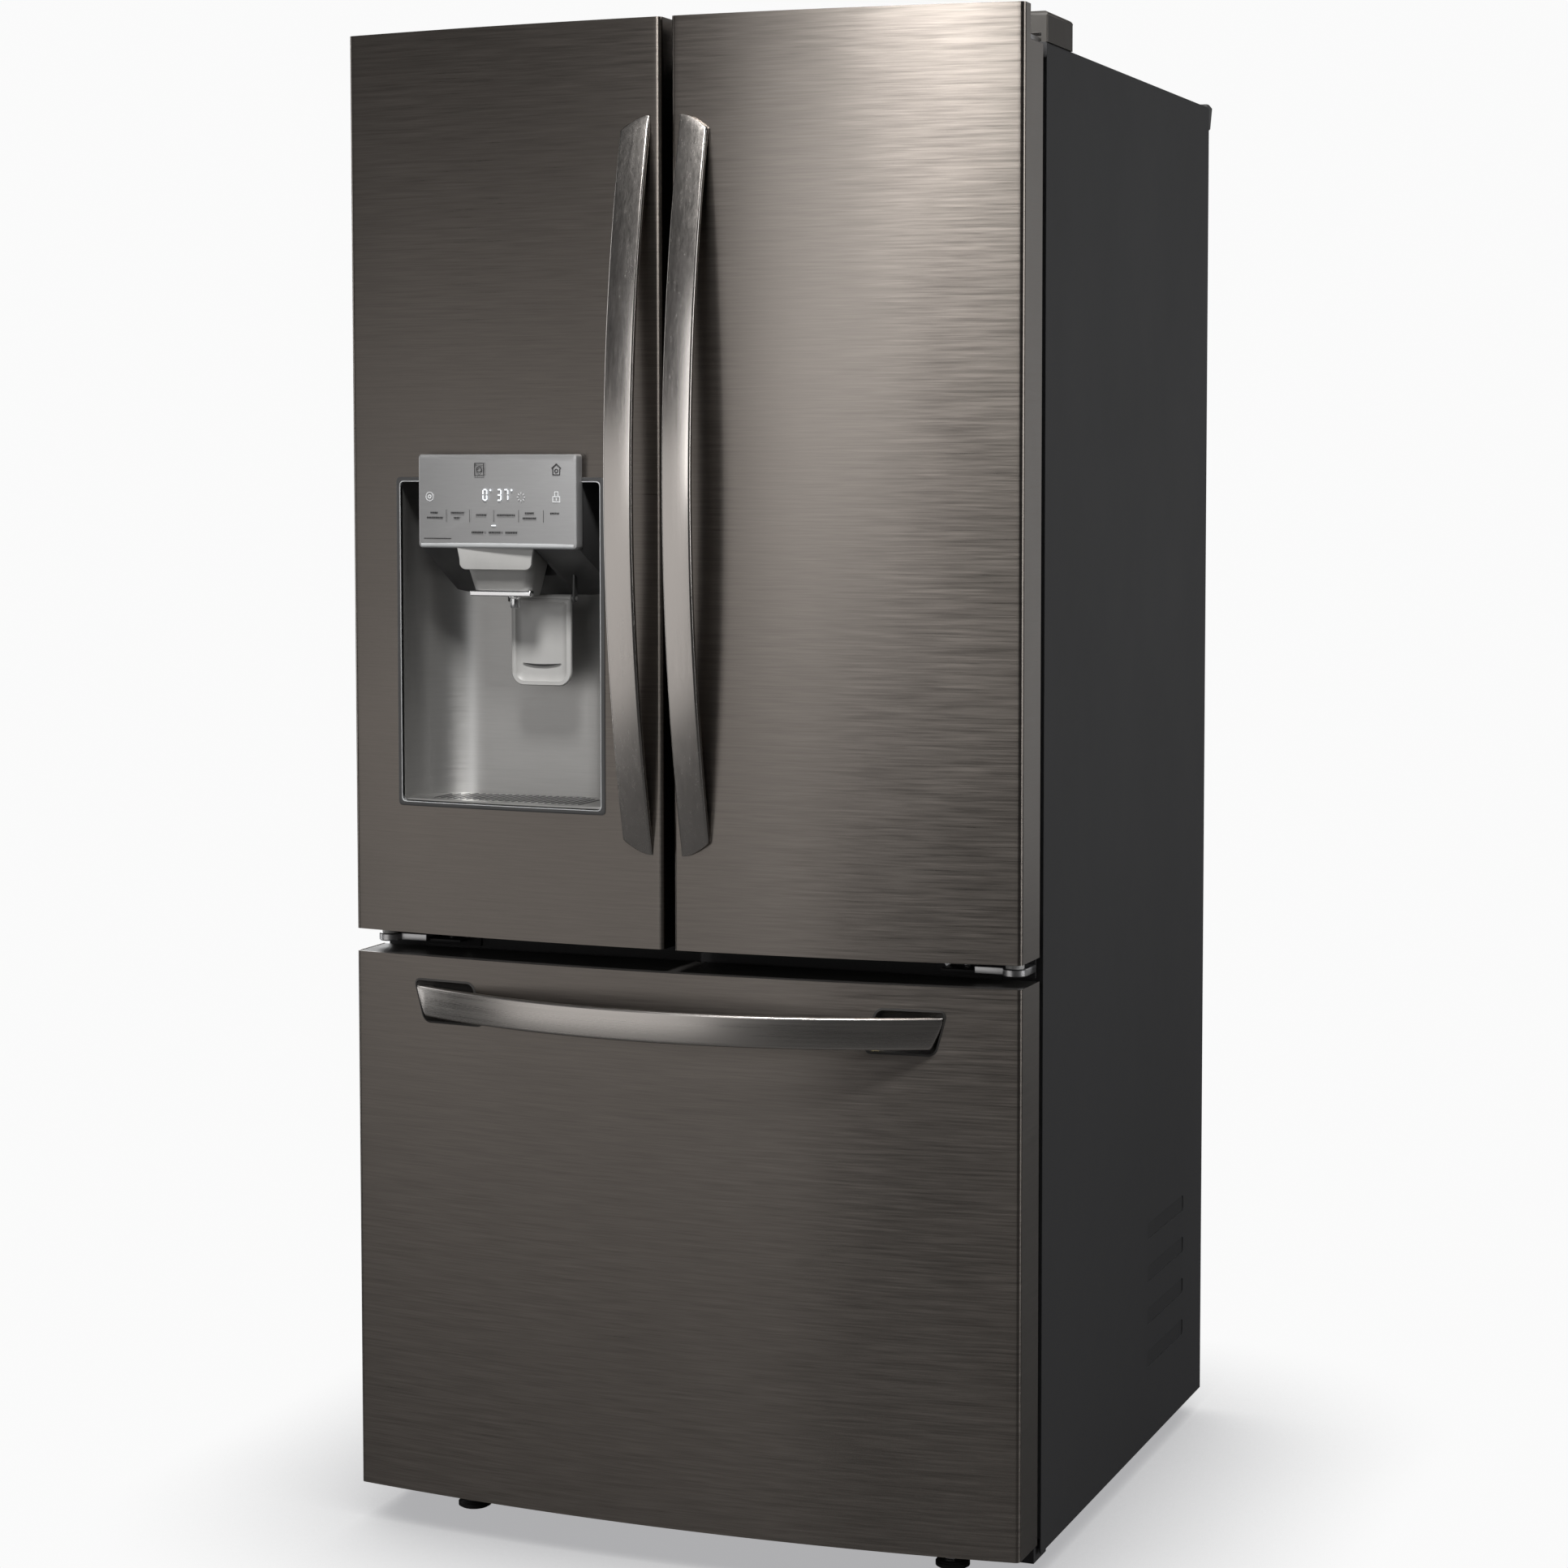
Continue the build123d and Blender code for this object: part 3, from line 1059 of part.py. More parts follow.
# ================================================================ all nodes
def nodes():
    """Every node's name and its piece, or list of pieces."""
    return {
        "outer_shell": outer_shell(),
        "insulation_foam": insulation_foam(),
        "fridge_liner": fridge_liner(),
        "freezer_liner": freezer_liner(),
        "back_panel": back_panel(),
        "centre_rail": centre_rail(),
        "rear_top_rail": rear_top_rail(),
        "base_frame": base_frame(),
        "front_feet": front_feet(),
        "rear_roller_left": rear_roller(-1),
        "rear_roller_right": rear_roller(1),
        "top_hinges": top_hinges(),
        "hinge_covers": hinge_covers(),
        "centre_hinges": centre_hinges(),
        "left_door_skin": left_door_skin(),
        "left_door_caps": LEFT.caps(),
        "left_door_foam": left_door_foam(),
        "left_door_liner": left_door_liner(),
        "left_door_gasket": LEFT.gasket(),
        "left_door_handle": door_handle(HANDLE_LEFT_X, 1, LEFT),
        "left_door_bins": left_door_bins(),
        "flip_mullion": flip_mullion(),
        "dispenser_housing": dispenser_housing(),
        "control_panel": control_panel(),
        "dispenser_chute": dispenser_chute(),
        "dispenser_lever": dispenser_lever(),
        "drip_tray": drip_tray(),
        "ice_room": ice_room(),
        "ice_maker": ice_maker(),
        "ice_bin": ice_bin(),
        "ice_auger": ice_auger(),
        "right_door_skin": RIGHT.skin(),
        "right_door_caps": RIGHT.caps(),
        "right_door_foam": RIGHT.foam(),
        "right_door_liner": RIGHT.liner(),
        "right_door_gasket": RIGHT.gasket(),
        "right_door_handle": door_handle(HANDLE_RIGHT_X, -1, RIGHT),
        "right_door_bins": right_door_bins(),
        "drawer_skin": drawer_skin(),
        "drawer_caps": DRAWER.caps(),
        "drawer_foam": drawer_foam(),
        "drawer_liner": DRAWER.liner(),
        "drawer_gasket": DRAWER.gasket(),
        "drawer_handle": drawer_handle(),
        "drawer_rails_inner": drawer_rails_inner(),
        "drawer_rails_outer": drawer_rails_outer(),
        "freezer_basket": freezer_basket(),
        "basket_divider": basket_divider(),
        "shelf_glass": shelf_glass(),
        "shelf_frames": shelf_frames(),
        "crisper_left": crisper(-1),
        "crisper_right": crisper(1),
        "freezer_duct": freezer_duct(),
        "evaporator": evaporator(),
        "evaporator_fan": evaporator_fan(),
        "compressor": compressor(),
        "condenser_coil": condenser_coil(),
        "condenser_fan": condenser_fan(),
        "machine_cover": machine_cover(),
        "water_valve": water_valve(),
    }


os.makedirs("parts", exist_ok=True)
for name, pieces in nodes().items():
    group = pieces if isinstance(pieces, list) else [pieces]
    solids = [solid for piece in group for solid in piece.solids()]
    node = solids[0] if len(solids) == 1 else Compound(solids)
    export_step(node.moved(Location((0, ORIGIN_SHIFT, 0))), f"parts/{name}.step")
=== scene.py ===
"""Looks of a French door refrigerator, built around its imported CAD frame."""
import sys
import json
import logging
import math
from dataclasses import dataclass, field
from enum import Enum
from typing import ClassVar

import bmesh
import bpy
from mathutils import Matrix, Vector

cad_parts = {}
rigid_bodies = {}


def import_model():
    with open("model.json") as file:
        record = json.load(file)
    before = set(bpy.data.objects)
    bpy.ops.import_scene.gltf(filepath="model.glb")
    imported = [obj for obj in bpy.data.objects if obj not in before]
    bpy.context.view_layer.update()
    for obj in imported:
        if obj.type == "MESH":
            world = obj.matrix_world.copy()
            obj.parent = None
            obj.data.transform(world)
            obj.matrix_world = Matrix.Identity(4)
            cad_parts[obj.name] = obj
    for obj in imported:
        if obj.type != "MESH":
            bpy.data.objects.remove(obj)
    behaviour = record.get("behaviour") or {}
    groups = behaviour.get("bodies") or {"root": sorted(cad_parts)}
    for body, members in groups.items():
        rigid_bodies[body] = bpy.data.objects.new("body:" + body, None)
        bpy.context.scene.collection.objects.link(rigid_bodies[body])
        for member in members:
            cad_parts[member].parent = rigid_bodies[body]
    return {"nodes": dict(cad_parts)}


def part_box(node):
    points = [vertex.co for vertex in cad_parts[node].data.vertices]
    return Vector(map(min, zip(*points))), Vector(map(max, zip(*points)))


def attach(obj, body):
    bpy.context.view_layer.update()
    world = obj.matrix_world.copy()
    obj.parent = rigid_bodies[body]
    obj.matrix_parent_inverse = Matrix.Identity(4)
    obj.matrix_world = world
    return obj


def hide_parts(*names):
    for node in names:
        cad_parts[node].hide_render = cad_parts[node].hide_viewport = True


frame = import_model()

LOG = logging.getLogger("refrigerator")
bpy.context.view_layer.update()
MM = 0.001
Point2 = tuple[float, float]
Span = tuple[float, float]
Socket = bpy.types.NodeSocket
Mesh = bpy.types.Mesh


class Body(str, Enum):
    """The CAD bodies that new pieces ride on."""

    CABINET = "cabinet"
    LEFT_DOOR = "left_door"
    RIGHT_DOOR = "right_door"
    DRAWER = "freezer_drawer"
    LEVER = "dispenser_lever"


class Slot(str, Enum):
    """The record's material slots, passed along with the new pieces."""

    BLACK_STEEL = "black_steel"
    HANDLE = "handle_metal"
    PAINT = "cabinet_paint"
    GALVANISED = "galvanised"
    HINGE = "hinge_steel"
    COMPRESSOR = "compressor_paint"
    BLACK_PLASTIC = "black_plastic"
    BIN = "bin_plastic"
    RUBBER = "gasket_rubber"
    NICHE = "niche_plastic"
    PANEL = "panel_face"


# ---------------------------------------------------------------- finishes
class Graph:
    """A material's node tree while it is being built."""

    def __init__(self, name: str) -> None:
        """Starts a material with one Principled shader.

        Args:
            name: the material's name.
        """
        self.material = bpy.data.materials.new(name)
        self.material.use_nodes = True
        self.tree = self.material.node_tree
        self.shader = self.tree.nodes["Principled BSDF"]

    def node(self, kind: str, **settings: object) -> bpy.types.Node:
        """Adds a node and sets its properties.

        Args:
            kind: the node's type name, without its ShaderNode prefix.
            settings: property values.

        Returns:
            The new node.
        """
        made = self.tree.nodes.new("ShaderNode" + kind)
        for key, value in settings.items():
            setattr(made, key, value)
        return made

    def join(self, source: Socket, target: Socket) -> None:
        """Links one socket to another."""
        self.tree.links.new(source, target)

    def place(self, scale: tuple[float, float, float]) -> Socket:
        """Object coordinates, stretched.

        Args:
            scale: repeats for each metre along x, y and z.

        Returns:
            The stretched vector.
        """
        coords = self.node("TexCoord")
        mapping = self.node("Mapping")
        mapping.inputs["Scale"].default_value = scale
        self.join(coords.outputs["Object"], mapping.inputs["Vector"])
        return mapping.outputs["Vector"]

    def noise(self, scale: tuple[float, float, float], detail: float = 3.0, rough: float = 0.5) -> Socket:
        """Fractal noise in object space.

        Args:
            scale: repeats for each metre along x, y and z.
            detail: number of octaves.
            rough: weight of the finer octaves.

        Returns:
            The noise value, about 0 to 1.
        """
        made = self.node("TexNoise")
        made.inputs["Scale"].default_value = 1.0
        made.inputs["Detail"].default_value = detail
        made.inputs["Roughness"].default_value = rough
        self.join(self.place(scale), made.inputs["Vector"])
        return made.outputs["Fac"]

    def spread(
        self, value: Socket, low: float, high: float, start: float = 0.3, end: float = 0.7
    ) -> Socket:
        """Maps a value from start..end to low..high.

        Args:
            value: the value to map.
            low: the result at start.
            high: the result at end.
            start: the lowest input.
            end: the highest input.

        Returns:
            The mapped value.
        """
        made = self.node("MapRange")
        for key, number in (("From Min", start), ("From Max", end), ("To Min", low), ("To Max", high)):
            made.inputs[key].default_value = number
        self.join(value, made.inputs["Value"])
        return made.outputs["Result"]

    def tint(self, value: Socket, dark: tuple, light: tuple) -> Socket:
        """A colour between two, by a value.

        Args:
            value: 0 gives dark and 1 gives light.
            dark: the first colour.
            light: the second colour.

        Returns:
            The mixed colour.
        """
        made = self.node("Mix", data_type="RGBA")
        sockets = [s for s in made.inputs if s.type == "RGBA"]
        sockets[0].default_value = (*dark, 1)
        sockets[1].default_value = (*light, 1)
        self.join(value, made.inputs["Factor"])
        return next(s for s in made.outputs if s.type == "RGBA")

    def add(self, first: Socket, second: Socket, share: float) -> Socket:
        """The first value plus a share of the second.

        Args:
            first: a value.
            second: another value.
            share: weight of the second value.

        Returns:
            The sum.
        """
        made = self.node("Math", operation="MULTIPLY_ADD")
        self.join(second, made.inputs[0])
        made.inputs[1].default_value = share
        self.join(first, made.inputs[2])
        return made.outputs[0]

    def bump(self, height: Socket, strength: float, depth: float) -> None:
        """Relief from a height value.

        Args:
            height: the height, 0 to 1.
            strength: weight of the relief.
            depth: its depth in metres.
        """
        made = self.node("Bump")
        made.inputs["Strength"].default_value = strength
        made.inputs["Distance"].default_value = depth
        self.join(height, made.inputs["Height"])
        self.join(made.outputs["Normal"], self.shader.inputs["Normal"])

    def edges(self, start: float = 0.51, end: float = 0.60) -> Socket:
        """How strongly a convex edge is lightened as a painted highlight, from the surface's own sharpness.

        Args:
            start: sharpness where the painted highlight begins.
            end: sharpness of the full painted highlight.

        Returns:
            Painted highlight, 0 to 1.
        """
        return self.spread(self.node("NewGeometry").outputs["Pointiness"], 0.0, 1.0, start, end)

    def paint(self, value: Socket, dark: tuple, light: tuple) -> None:
        """Gives the shader a base colour between two, by a value."""
        self.join(self.tint(value, dark, light), self.shader.inputs["Base Color"])

    def set(self, **values: float | tuple) -> None:
        """Sets constants on the shader's own sockets, with _ for a space in a name."""
        for key, value in values.items():
            self.shader.inputs[key.replace("_", " ")].default_value = value


def scaled(colour: tuple, by: float) -> tuple:
    """A colour made lighter or darker."""
    return tuple(min(1.0, c * by) for c in colour)


@dataclass(frozen=True)
class BrushedSteel:
    """Sheet metal brushed one way, so that reflections smear across the brush lines."""

    name: str
    colour: tuple[float, float, float]
    roughness: float = 0.34
    anisotropy: float = 0.75
    contrast: float = 0.10
    grain: float = 1500.0
    along: str = "x"
    metal: float = 1.0
    dash: float = 16.0
    relief: float = 0.06
    HAIR_RANGE: ClassVar[Span] = (0.62, 1.28)

    def brush(self, g: Graph, share: float, length: float, detail: float) -> Socket:
        """One layer of brush lines.

        Args:
            g: the material's graph.
            share: how fine its lines are, as a share of the grain.
            length: repeats for each metre along the lines.
            detail: number of octaves.

        Returns:
            The layer's value.
        """
        fine = self.grain * share
        scale = (length, length, fine) if self.along == "x" else (fine, fine, length)
        return g.noise(scale, detail, 0.6)

    def build(self) -> bpy.types.Material:
        """Makes the material."""
        g = Graph(self.name)
        turn = 0.25 if self.along == "x" else 0.0
        g.set(Metallic=self.metal, Anisotropic=self.anisotropy, Anisotropic_Rotation=turn)
        tangent = g.node("Tangent", direction_type="RADIAL", axis="Z")
        g.join(tangent.outputs["Tangent"], g.shader.inputs["Tangent"])
        hair = g.add(self.brush(g, 1.0, 2 * self.dash, 3.0), self.brush(g, 0.22, self.dash, 2.0), 0.9)
        smear = g.noise((3.5, 3.5, 2.2), 4.0, 0.6)
        low, high = scaled(self.colour, 1 - self.contrast), scaled(self.colour, 1 + self.contrast)
        g.paint(g.spread(hair, 0.0, 1.0, *self.HAIR_RANGE), low, high)
        rough = g.spread(hair, self.roughness - 0.04, self.roughness + 0.05, *self.HAIR_RANGE)
        g.join(g.add(rough, g.spread(smear, -1.0, 1.0), 0.02), g.shader.inputs["Roughness"])
        g.bump(hair, self.relief, 0.00005)
        return g.material


@dataclass(frozen=True)
class Paint:
    """Baked paint on sheet steel, with a fine pebbled texture and a painted highlight along convex edges."""

    name: str
    colour: tuple[float, float, float]
    roughness: float = 0.42
    pebble: float = 900.0
    relief: float = 0.00012
    # How much lighter convex edges are painted, as a highlight.
    lightening: float = 1.6

    def build(self) -> bpy.types.Material:
        """Makes the material."""
        g = Graph(self.name)
        g.set(Specular_IOR_Level=0.3)
        dust = g.noise((5.0, 5.0, 4.0), 5.0, 0.6)
        cells = g.node("TexVoronoi", feature="SMOOTH_F1")
        cells.inputs["Scale"].default_value = 1.0
        g.join(g.place((self.pebble,) * 3), cells.inputs["Vector"])
        height = g.add(cells.outputs["Distance"], g.noise((self.pebble * 2.3,) * 3, 2.0), 0.5)
        body = g.tint(g.spread(dust, 0.0, 1.0), scaled(self.colour, 0.94), scaled(self.colour, 1.07))
        # Convex edges are mixed towards a lighter colour: a painted highlight.
        edge_highlight = g.node("Mix", data_type="RGBA")
        sockets = [s for s in edge_highlight.inputs if s.type == "RGBA"]
        g.join(g.edges(), edge_highlight.inputs["Factor"])
        g.join(body, sockets[0])
        sockets[1].default_value = (*scaled(self.colour, self.lightening), 1)
        g.join(next(s for s in edge_highlight.outputs if s.type == "RGBA"), g.shader.inputs["Base Color"])
        g.join(g.spread(dust, self.roughness - 0.03, self.roughness + 0.04), g.shader.inputs["Roughness"])
        g.bump(height, 0.3, self.relief)
        return g.material


@dataclass(frozen=True)
class Moulding:
    """Injection moulded plastic or cast rubber: a faint grain, random haze, and convex edges lightened as a
    painted highlight.
    """

    name: str
    colour: tuple[float, float, float]
    roughness: float = 0.4
    grain: float = 1400.0
    relief: float = 0.00006
    # How much lighter the random haze and the painted edge highlight make the colour.
    lightening: float = 1.25
    metal: float = 0.0

    def build(self) -> bpy.types.Material:
        """Makes the material."""
        g = Graph(self.name)
        g.set(Metallic=self.metal)
        grain = g.noise((self.grain,) * 3, 2.0, 0.6)
        haze = g.noise((14.0, 14.0, 11.0), 4.0, 0.6)
        # Random haze, plus a painted highlight along convex edges, lightens the colour.
        lightening = g.add(g.spread(haze, 0.0, 0.6), g.edges(), 0.6)
        g.paint(lightening, scaled(self.colour, 0.93), scaled(self.colour, self.lightening))
        g.join(g.spread(haze, self.roughness - 0.05, self.roughness + 0.07), g.shader.inputs["Roughness"])
        g.bump(grain, 0.3, self.relief)
        return g.material


@dataclass(frozen=True)
class Clear:
    """Clear glass or plastic, with faint flow lines and dust."""

    name: str
    colour: tuple[float, float, float]
    roughness: float = 0.05
    ior: float = 1.49

    def build(self) -> bpy.types.Material:
        """Makes the material."""
        g = Graph(self.name)
        g.set(Transmission_Weight=1.0, IOR=self.ior)
        haze = g.noise((20.0, 20.0, 16.0), 4.0, 0.6)
        g.paint(g.spread(haze, 0.0, 1.0), scaled(self.colour, 0.97), self.colour)
        g.join(g.spread(haze, self.roughness, self.roughness + 0.06), g.shader.inputs["Roughness"])
        g.bump(g.noise((60.0,) * 3, 2.0), 0.15, 0.0001)
        return g.material


@dataclass(frozen=True)
class Zinc:
    """Galvanised sheet with its spangle."""

    name: str
    colour: tuple[float, float, float]
    roughness: float = 0.38
    spangle: float = 55.0
    SHADE_RANGE: ClassVar[Span] = (0.2, 1.2)

    def build(self) -> bpy.types.Material:
        """Makes the material."""
        g = Graph(self.name)
        g.set(Metallic=0.9)
        cells = g.node("TexVoronoi", feature="F1")
        cells.inputs["Scale"].default_value = 1.0
        g.join(g.place((self.spangle,) * 3), cells.inputs["Vector"])
        split = g.node("SeparateColor")
        g.join(cells.outputs["Color"], split.inputs["Color"])
        flake = split.outputs["Red"]
        fine = g.noise((220.0, 220.0, 160.0), 4.0, 0.6)
        shade = g.add(flake, fine, 0.5)
        value = g.spread(shade, 0.0, 1.0, *self.SHADE_RANGE)
        g.paint(value, scaled(self.colour, 0.82), scaled(self.colour, 1.15))
        rough = g.spread(shade, self.roughness - 0.07, self.roughness + 0.1, *self.SHADE_RANGE)
        g.join(rough, g.shader.inputs["Roughness"])
        g.bump(fine, 0.12, 0.0001)
        return g.material


@dataclass(frozen=True)
class Glow:
    """Lit marks on the display."""

    name: str
    colour: tuple[float, float, float]
    strength: float

    def build(self) -> bpy.types.Material:
        """Makes the material."""
        g = Graph(self.name)
        fleck = g.noise((2500.0,) * 3, 2.0)
        g.paint(g.spread(fleck, 0.0, 1.0), scaled(self.colour, 0.8), self.colour)
        g.set(Emission_Color=(*self.colour, 1), Emission_Strength=self.strength, Roughness=0.4)
        return g.material


class Finish(Enum):
    """Every finish on the refrigerator."""

    DOOR_STEEL = BrushedSteel(
        "brushed_black_steel", (0.185, 0.167, 0.152), 0.32, 0.80, 0.17, dash=10.0, relief=0.03)
    HANDLE = BrushedSteel(
        "handle_metal", (0.43, 0.405, 0.385), 0.23, 0.1, 0.03, 1100.0, "z", dash=3.0, relief=0.003)
    DRAWER_HANDLE = BrushedSteel(
        "drawer_handle_metal", (0.47, 0.445, 0.425), 0.27, 0.1, 0.03, 1100.0, "x", dash=3.0, relief=0.003)
    PANEL_FACE = BrushedSteel("panel_face", (0.36, 0.36, 0.365), 0.42, 0.4, 0.04, 1700.0, "x", 0.5, 30.0)
    NICHE = BrushedSteel("niche_plastic", (0.42, 0.416, 0.41), 0.40, 0.5, 0.05, 1300.0, "x", 0.85)
    PAINT = Paint("cabinet_paint", (0.030, 0.030, 0.0315), 0.62)
    RAIL_PAINT = Paint("rail_paint", (0.62, 0.62, 0.61), 0.4, 500.0, 0.00005, 1.1)
    COMPRESSOR = Paint("compressor_paint", (0.018, 0.018, 0.018), 0.3, 400.0, 0.0002)
    COVER = Zinc("cover_steel", (0.36, 0.36, 0.36), 0.42, 90.0)
    GALVANISED = Zinc("galvanised_steel", (0.52, 0.53, 0.54))
    HINGE = BrushedSteel("hinge_steel", (0.55, 0.55, 0.56), 0.36, 0.2, 0.06, 700.0)
    CHROME = Moulding("chrome_plate", (0.78, 0.78, 0.79), 0.12, 900.0, 0.00001, 1.1, 1.0)
    FINS = Moulding("fin_aluminium", (0.66, 0.67, 0.68), 0.32, 900.0, 0.00002, 1.1, 1.0)
    BLACK_PLASTIC = Moulding("black_plastic", (0.022, 0.022, 0.023), 0.42)
    CAP_PLASTIC = Moulding("cap_plastic", (0.030, 0.028, 0.027), 0.45)
    GREY_PLASTIC = Moulding("lever_plastic", (0.44, 0.437, 0.43), 0.34)
    DARK_GREY = Moulding("hood_plastic", (0.045, 0.045, 0.046), 0.38)
    CHUTE = Moulding("chute_plastic", (0.34, 0.337, 0.33), 0.36)
    WHITE_PLASTIC = Moulding("white_liner", (0.80, 0.81, 0.81), 0.32, 700.0, 0.00004, 1.03)
    TRIM_GREY = Moulding("trim_grey", (0.42, 0.43, 0.44), 0.35)
    BROWN_CAP = Moulding("brown_cap", (0.040, 0.036, 0.032), 0.55)
    RUBBER = Moulding("gasket_rubber", (0.035, 0.035, 0.036), 0.62, 600.0, 0.00008)
    FOAM = Moulding("urethane_foam", (0.80, 0.70, 0.42), 0.85, 260.0, 0.0005, 1.1)
    VALVE = Moulding("valve_nylon", (0.72, 0.72, 0.68), 0.45)
    BIN = Clear("clear_bins", (0.93, 0.96, 0.97), 0.06)
    GLASS = Clear("shelf_glass", (0.88, 0.95, 0.92), 0.01, 1.5)
    MARKS = Glow("display_marks", (0.85, 0.90, 0.95), 0.9)
    DIM_MARKS = Glow("dim_marks", (0.60, 0.61, 0.62), 0.42)
    # Dark ink for the display's print, and the painted shadow in the lever's finger slot.
    INK_AND_SHADOW = Moulding("dark_ink_and_shadow", (0.02, 0.02, 0.021), 0.5)


MADE: dict[Finish, bpy.types.Material] = {}


def material(finish: Finish) -> bpy.types.Material:
    """The material of a finish, made the first time it is asked for."""
    if finish not in MADE:
        MADE[finish] = finish.value.build()
    return MADE[finish]


# ---------------------------------------------------------------- mesh building
AXES = {
    "x": lambda a, b, h: (h, a, b),
    "y": lambda a, b, h: (a, h, b),
    "z": lambda a, b, h: (a, b, h),
}


def shrink(span: Span, by: float) -> Span:
    """A span with both of its ends moved inwards."""
    return span[0] + by, span[1] - by


def mirrored(side: int, near: float, far: float) -> Span:
    """The x span between two distances from the middle, on one side of it."""
    ends = sorted((side * near, side * far))
    return ends[0], ends[1]


def new_piece(name: str, mesh: Mesh, finish: Finish, smooth: float = 35.0) -> bpy.types.Object:
    """Links a mesh as an object with one finish.

    Args:
        name: the piece's name.
        mesh: its mesh, in the row frame.
        finish: its finish.
        smooth: edges sharper than this many degrees stay sharp.

    Returns:
        The new object.
    """
    piece = bpy.data.objects.new(name, mesh)
    bpy.context.scene.collection.objects.link(piece)
    piece.data.materials.clear()
    piece.data.materials.append(material(finish))
    shade(piece, smooth)
    return piece


def shade(piece: bpy.types.Object, smooth: float) -> None:
    """Smooth shading, with edges over that many degrees left sharp."""
    piece.data.shade_smooth()
    piece.data.set_sharp_from_angle(angle=math.radians(smooth))


def flatten(piece: bpy.types.Object) -> None:
    """Keeps the shading of a piece's broad flat faces flat up to their small rounded edges."""
    weighted = piece.modifiers.new("shading", "WEIGHTED_NORMAL")
    weighted.keep_sharp = True
    weighted.weight = 90


def mesh_from(name: str, verts: list, faces: list) -> Mesh:
    """A clean mesh with outward normals.

    Args:
        name: the mesh's name.
        verts: points.
        faces: tuples of point numbers.

    Returns:
        The mesh.
    """
    mesh = bpy.data.meshes.new(name)
    mesh.from_pydata([tuple(v) for v in verts], [], faces)
    bm = bmesh.new()
    bm.from_mesh(mesh)
    bmesh.ops.remove_doubles(bm, verts=bm.verts, dist=1e-6)
    bmesh.ops.recalc_face_normals(bm, faces=bm.faces)
    bm.to_mesh(mesh)
    bm.free()
    return mesh


def prism(name: str, outline: list[Point2], span: Span, axis: str = "z") -> Mesh:
    """A closed outline pushed along an axis.

    Args:
        name: the mesh's name.
        outline: points, as (x, y) for z, (x, z) for y and (y, z) for x.
        span: low and high ends along the axis.
        axis: x, y or z.

    Returns:
        The mesh.
    """
    put = AXES[axis]
    count = len(outline)
    verts = [put(a, b, h) for h in span for a, b in outline]
    faces = [tuple(range(count)), tuple(range(2 * count - 1, count - 1, -1))]
    faces += [(i, (i + 1) % count, count + (i + 1) % count, count + i) for i in range(count)]
    return mesh_from(name, verts, faces)


def slab(name: str, low: tuple, high: tuple, radius: float = 0.0, segments: int = 2) -> Mesh:
    """A block with rounded edges.

    Args:
        name: the mesh's name.
        low: lowest corner.
        high: highest corner.
        radius: edge radius.
        segments: facets in each rounded edge.

    Returns:
        The mesh.
    """
    corners = [(low[0], low[1]), (high[0], low[1]), (high[0], high[1]), (low[0], high[1])]
    mesh = prism(name, corners, (low[2], high[2]))
    if radius:
        soften(mesh, radius, segments, 0)
    return mesh


def soften(mesh: Mesh, radius: float, segments: int = 2, angle: float = 40.0) -> None:
    """Rounds every edge of a mesh that is sharper than an angle.

    Args:
        mesh: the mesh to change.
        radius: edge radius.
        segments: facets in each rounded edge.
        angle: sharpness in degrees.
    """
    bm = bmesh.new()
    bm.from_mesh(mesh)
    limit = math.radians(angle)
    sharp = [e for e in bm.edges if len(e.link_faces) == 2 and e.calc_face_angle() > limit]
    bmesh.ops.bevel(
        bm, geom=sharp, offset=radius, segments=segments, profile=0.5, affect="EDGES", clamp_overlap=True)
    bm.to_mesh(mesh)
    bm.free()


def loft(name: str, rings: list[list[tuple]], closed: bool = False) -> Mesh:
    """A skin over rings with equal numbers of points.

    Args:
        name: the mesh's name.
        rings: the rings in order.
        closed: whether the last ring joins the first; if not, both ends are capped.

    Returns:
        The mesh.
    """
    count = len(rings[0])
    verts = [p for ring in rings for p in ring]
    faces = []
    for r in range(len(rings) - (0 if closed else 1)):
        a, b = r * count, ((r + 1) % len(rings)) * count
        faces += [(a + i, a + (i + 1) % count, b + (i + 1) % count, b + i) for i in range(count)]
    if not closed:
        faces += [tuple(range(count)), tuple(range(len(verts) - 1, len(verts) - count - 1, -1))]
    return mesh_from(name, verts, faces)


def turned(name: str, profile: list[Point2], centre: tuple, axis: str = "z", steps: int = 40) -> Mesh:
    """A turned solid.

    Args:
        name: the mesh's name.
        profile: (radius, height) points from one end of the axis to the other.
        centre: the point where height is 0.
        axis: x, y or z.
        steps: facets round the axis.

    Returns:
        The mesh.
    """
    put = AXES[axis]
    rings = []
    for radius, height in profile:
        ring = []
        for i in range(steps):
            turn = 2 * math.pi * i / steps
            local = put(max(radius, 1e-5) * math.cos(turn), max(radius, 1e-5) * math.sin(turn), height)
            ring.append(tuple(centre[k] + local[k] for k in range(3)))
        rings.append(ring)
    return loft(name, rings)


def round_corner(centre: Point2, radius: float, start: float, end: float, steps: int) -> list[Point2]:
    """Points on an arc.

    Args:
        centre: the arc's centre.
        radius: its radius.
        start: first angle in degrees.
        end: last angle in degrees.
        steps: number of facets.

    Returns:
        The points.
    """
    points = []
    for i in range(steps + 1):
        turn = math.radians(start + (end - start) * i / steps)
        points.append((centre[0] + radius * math.cos(turn), centre[1] + radius * math.sin(turn)))
    return points


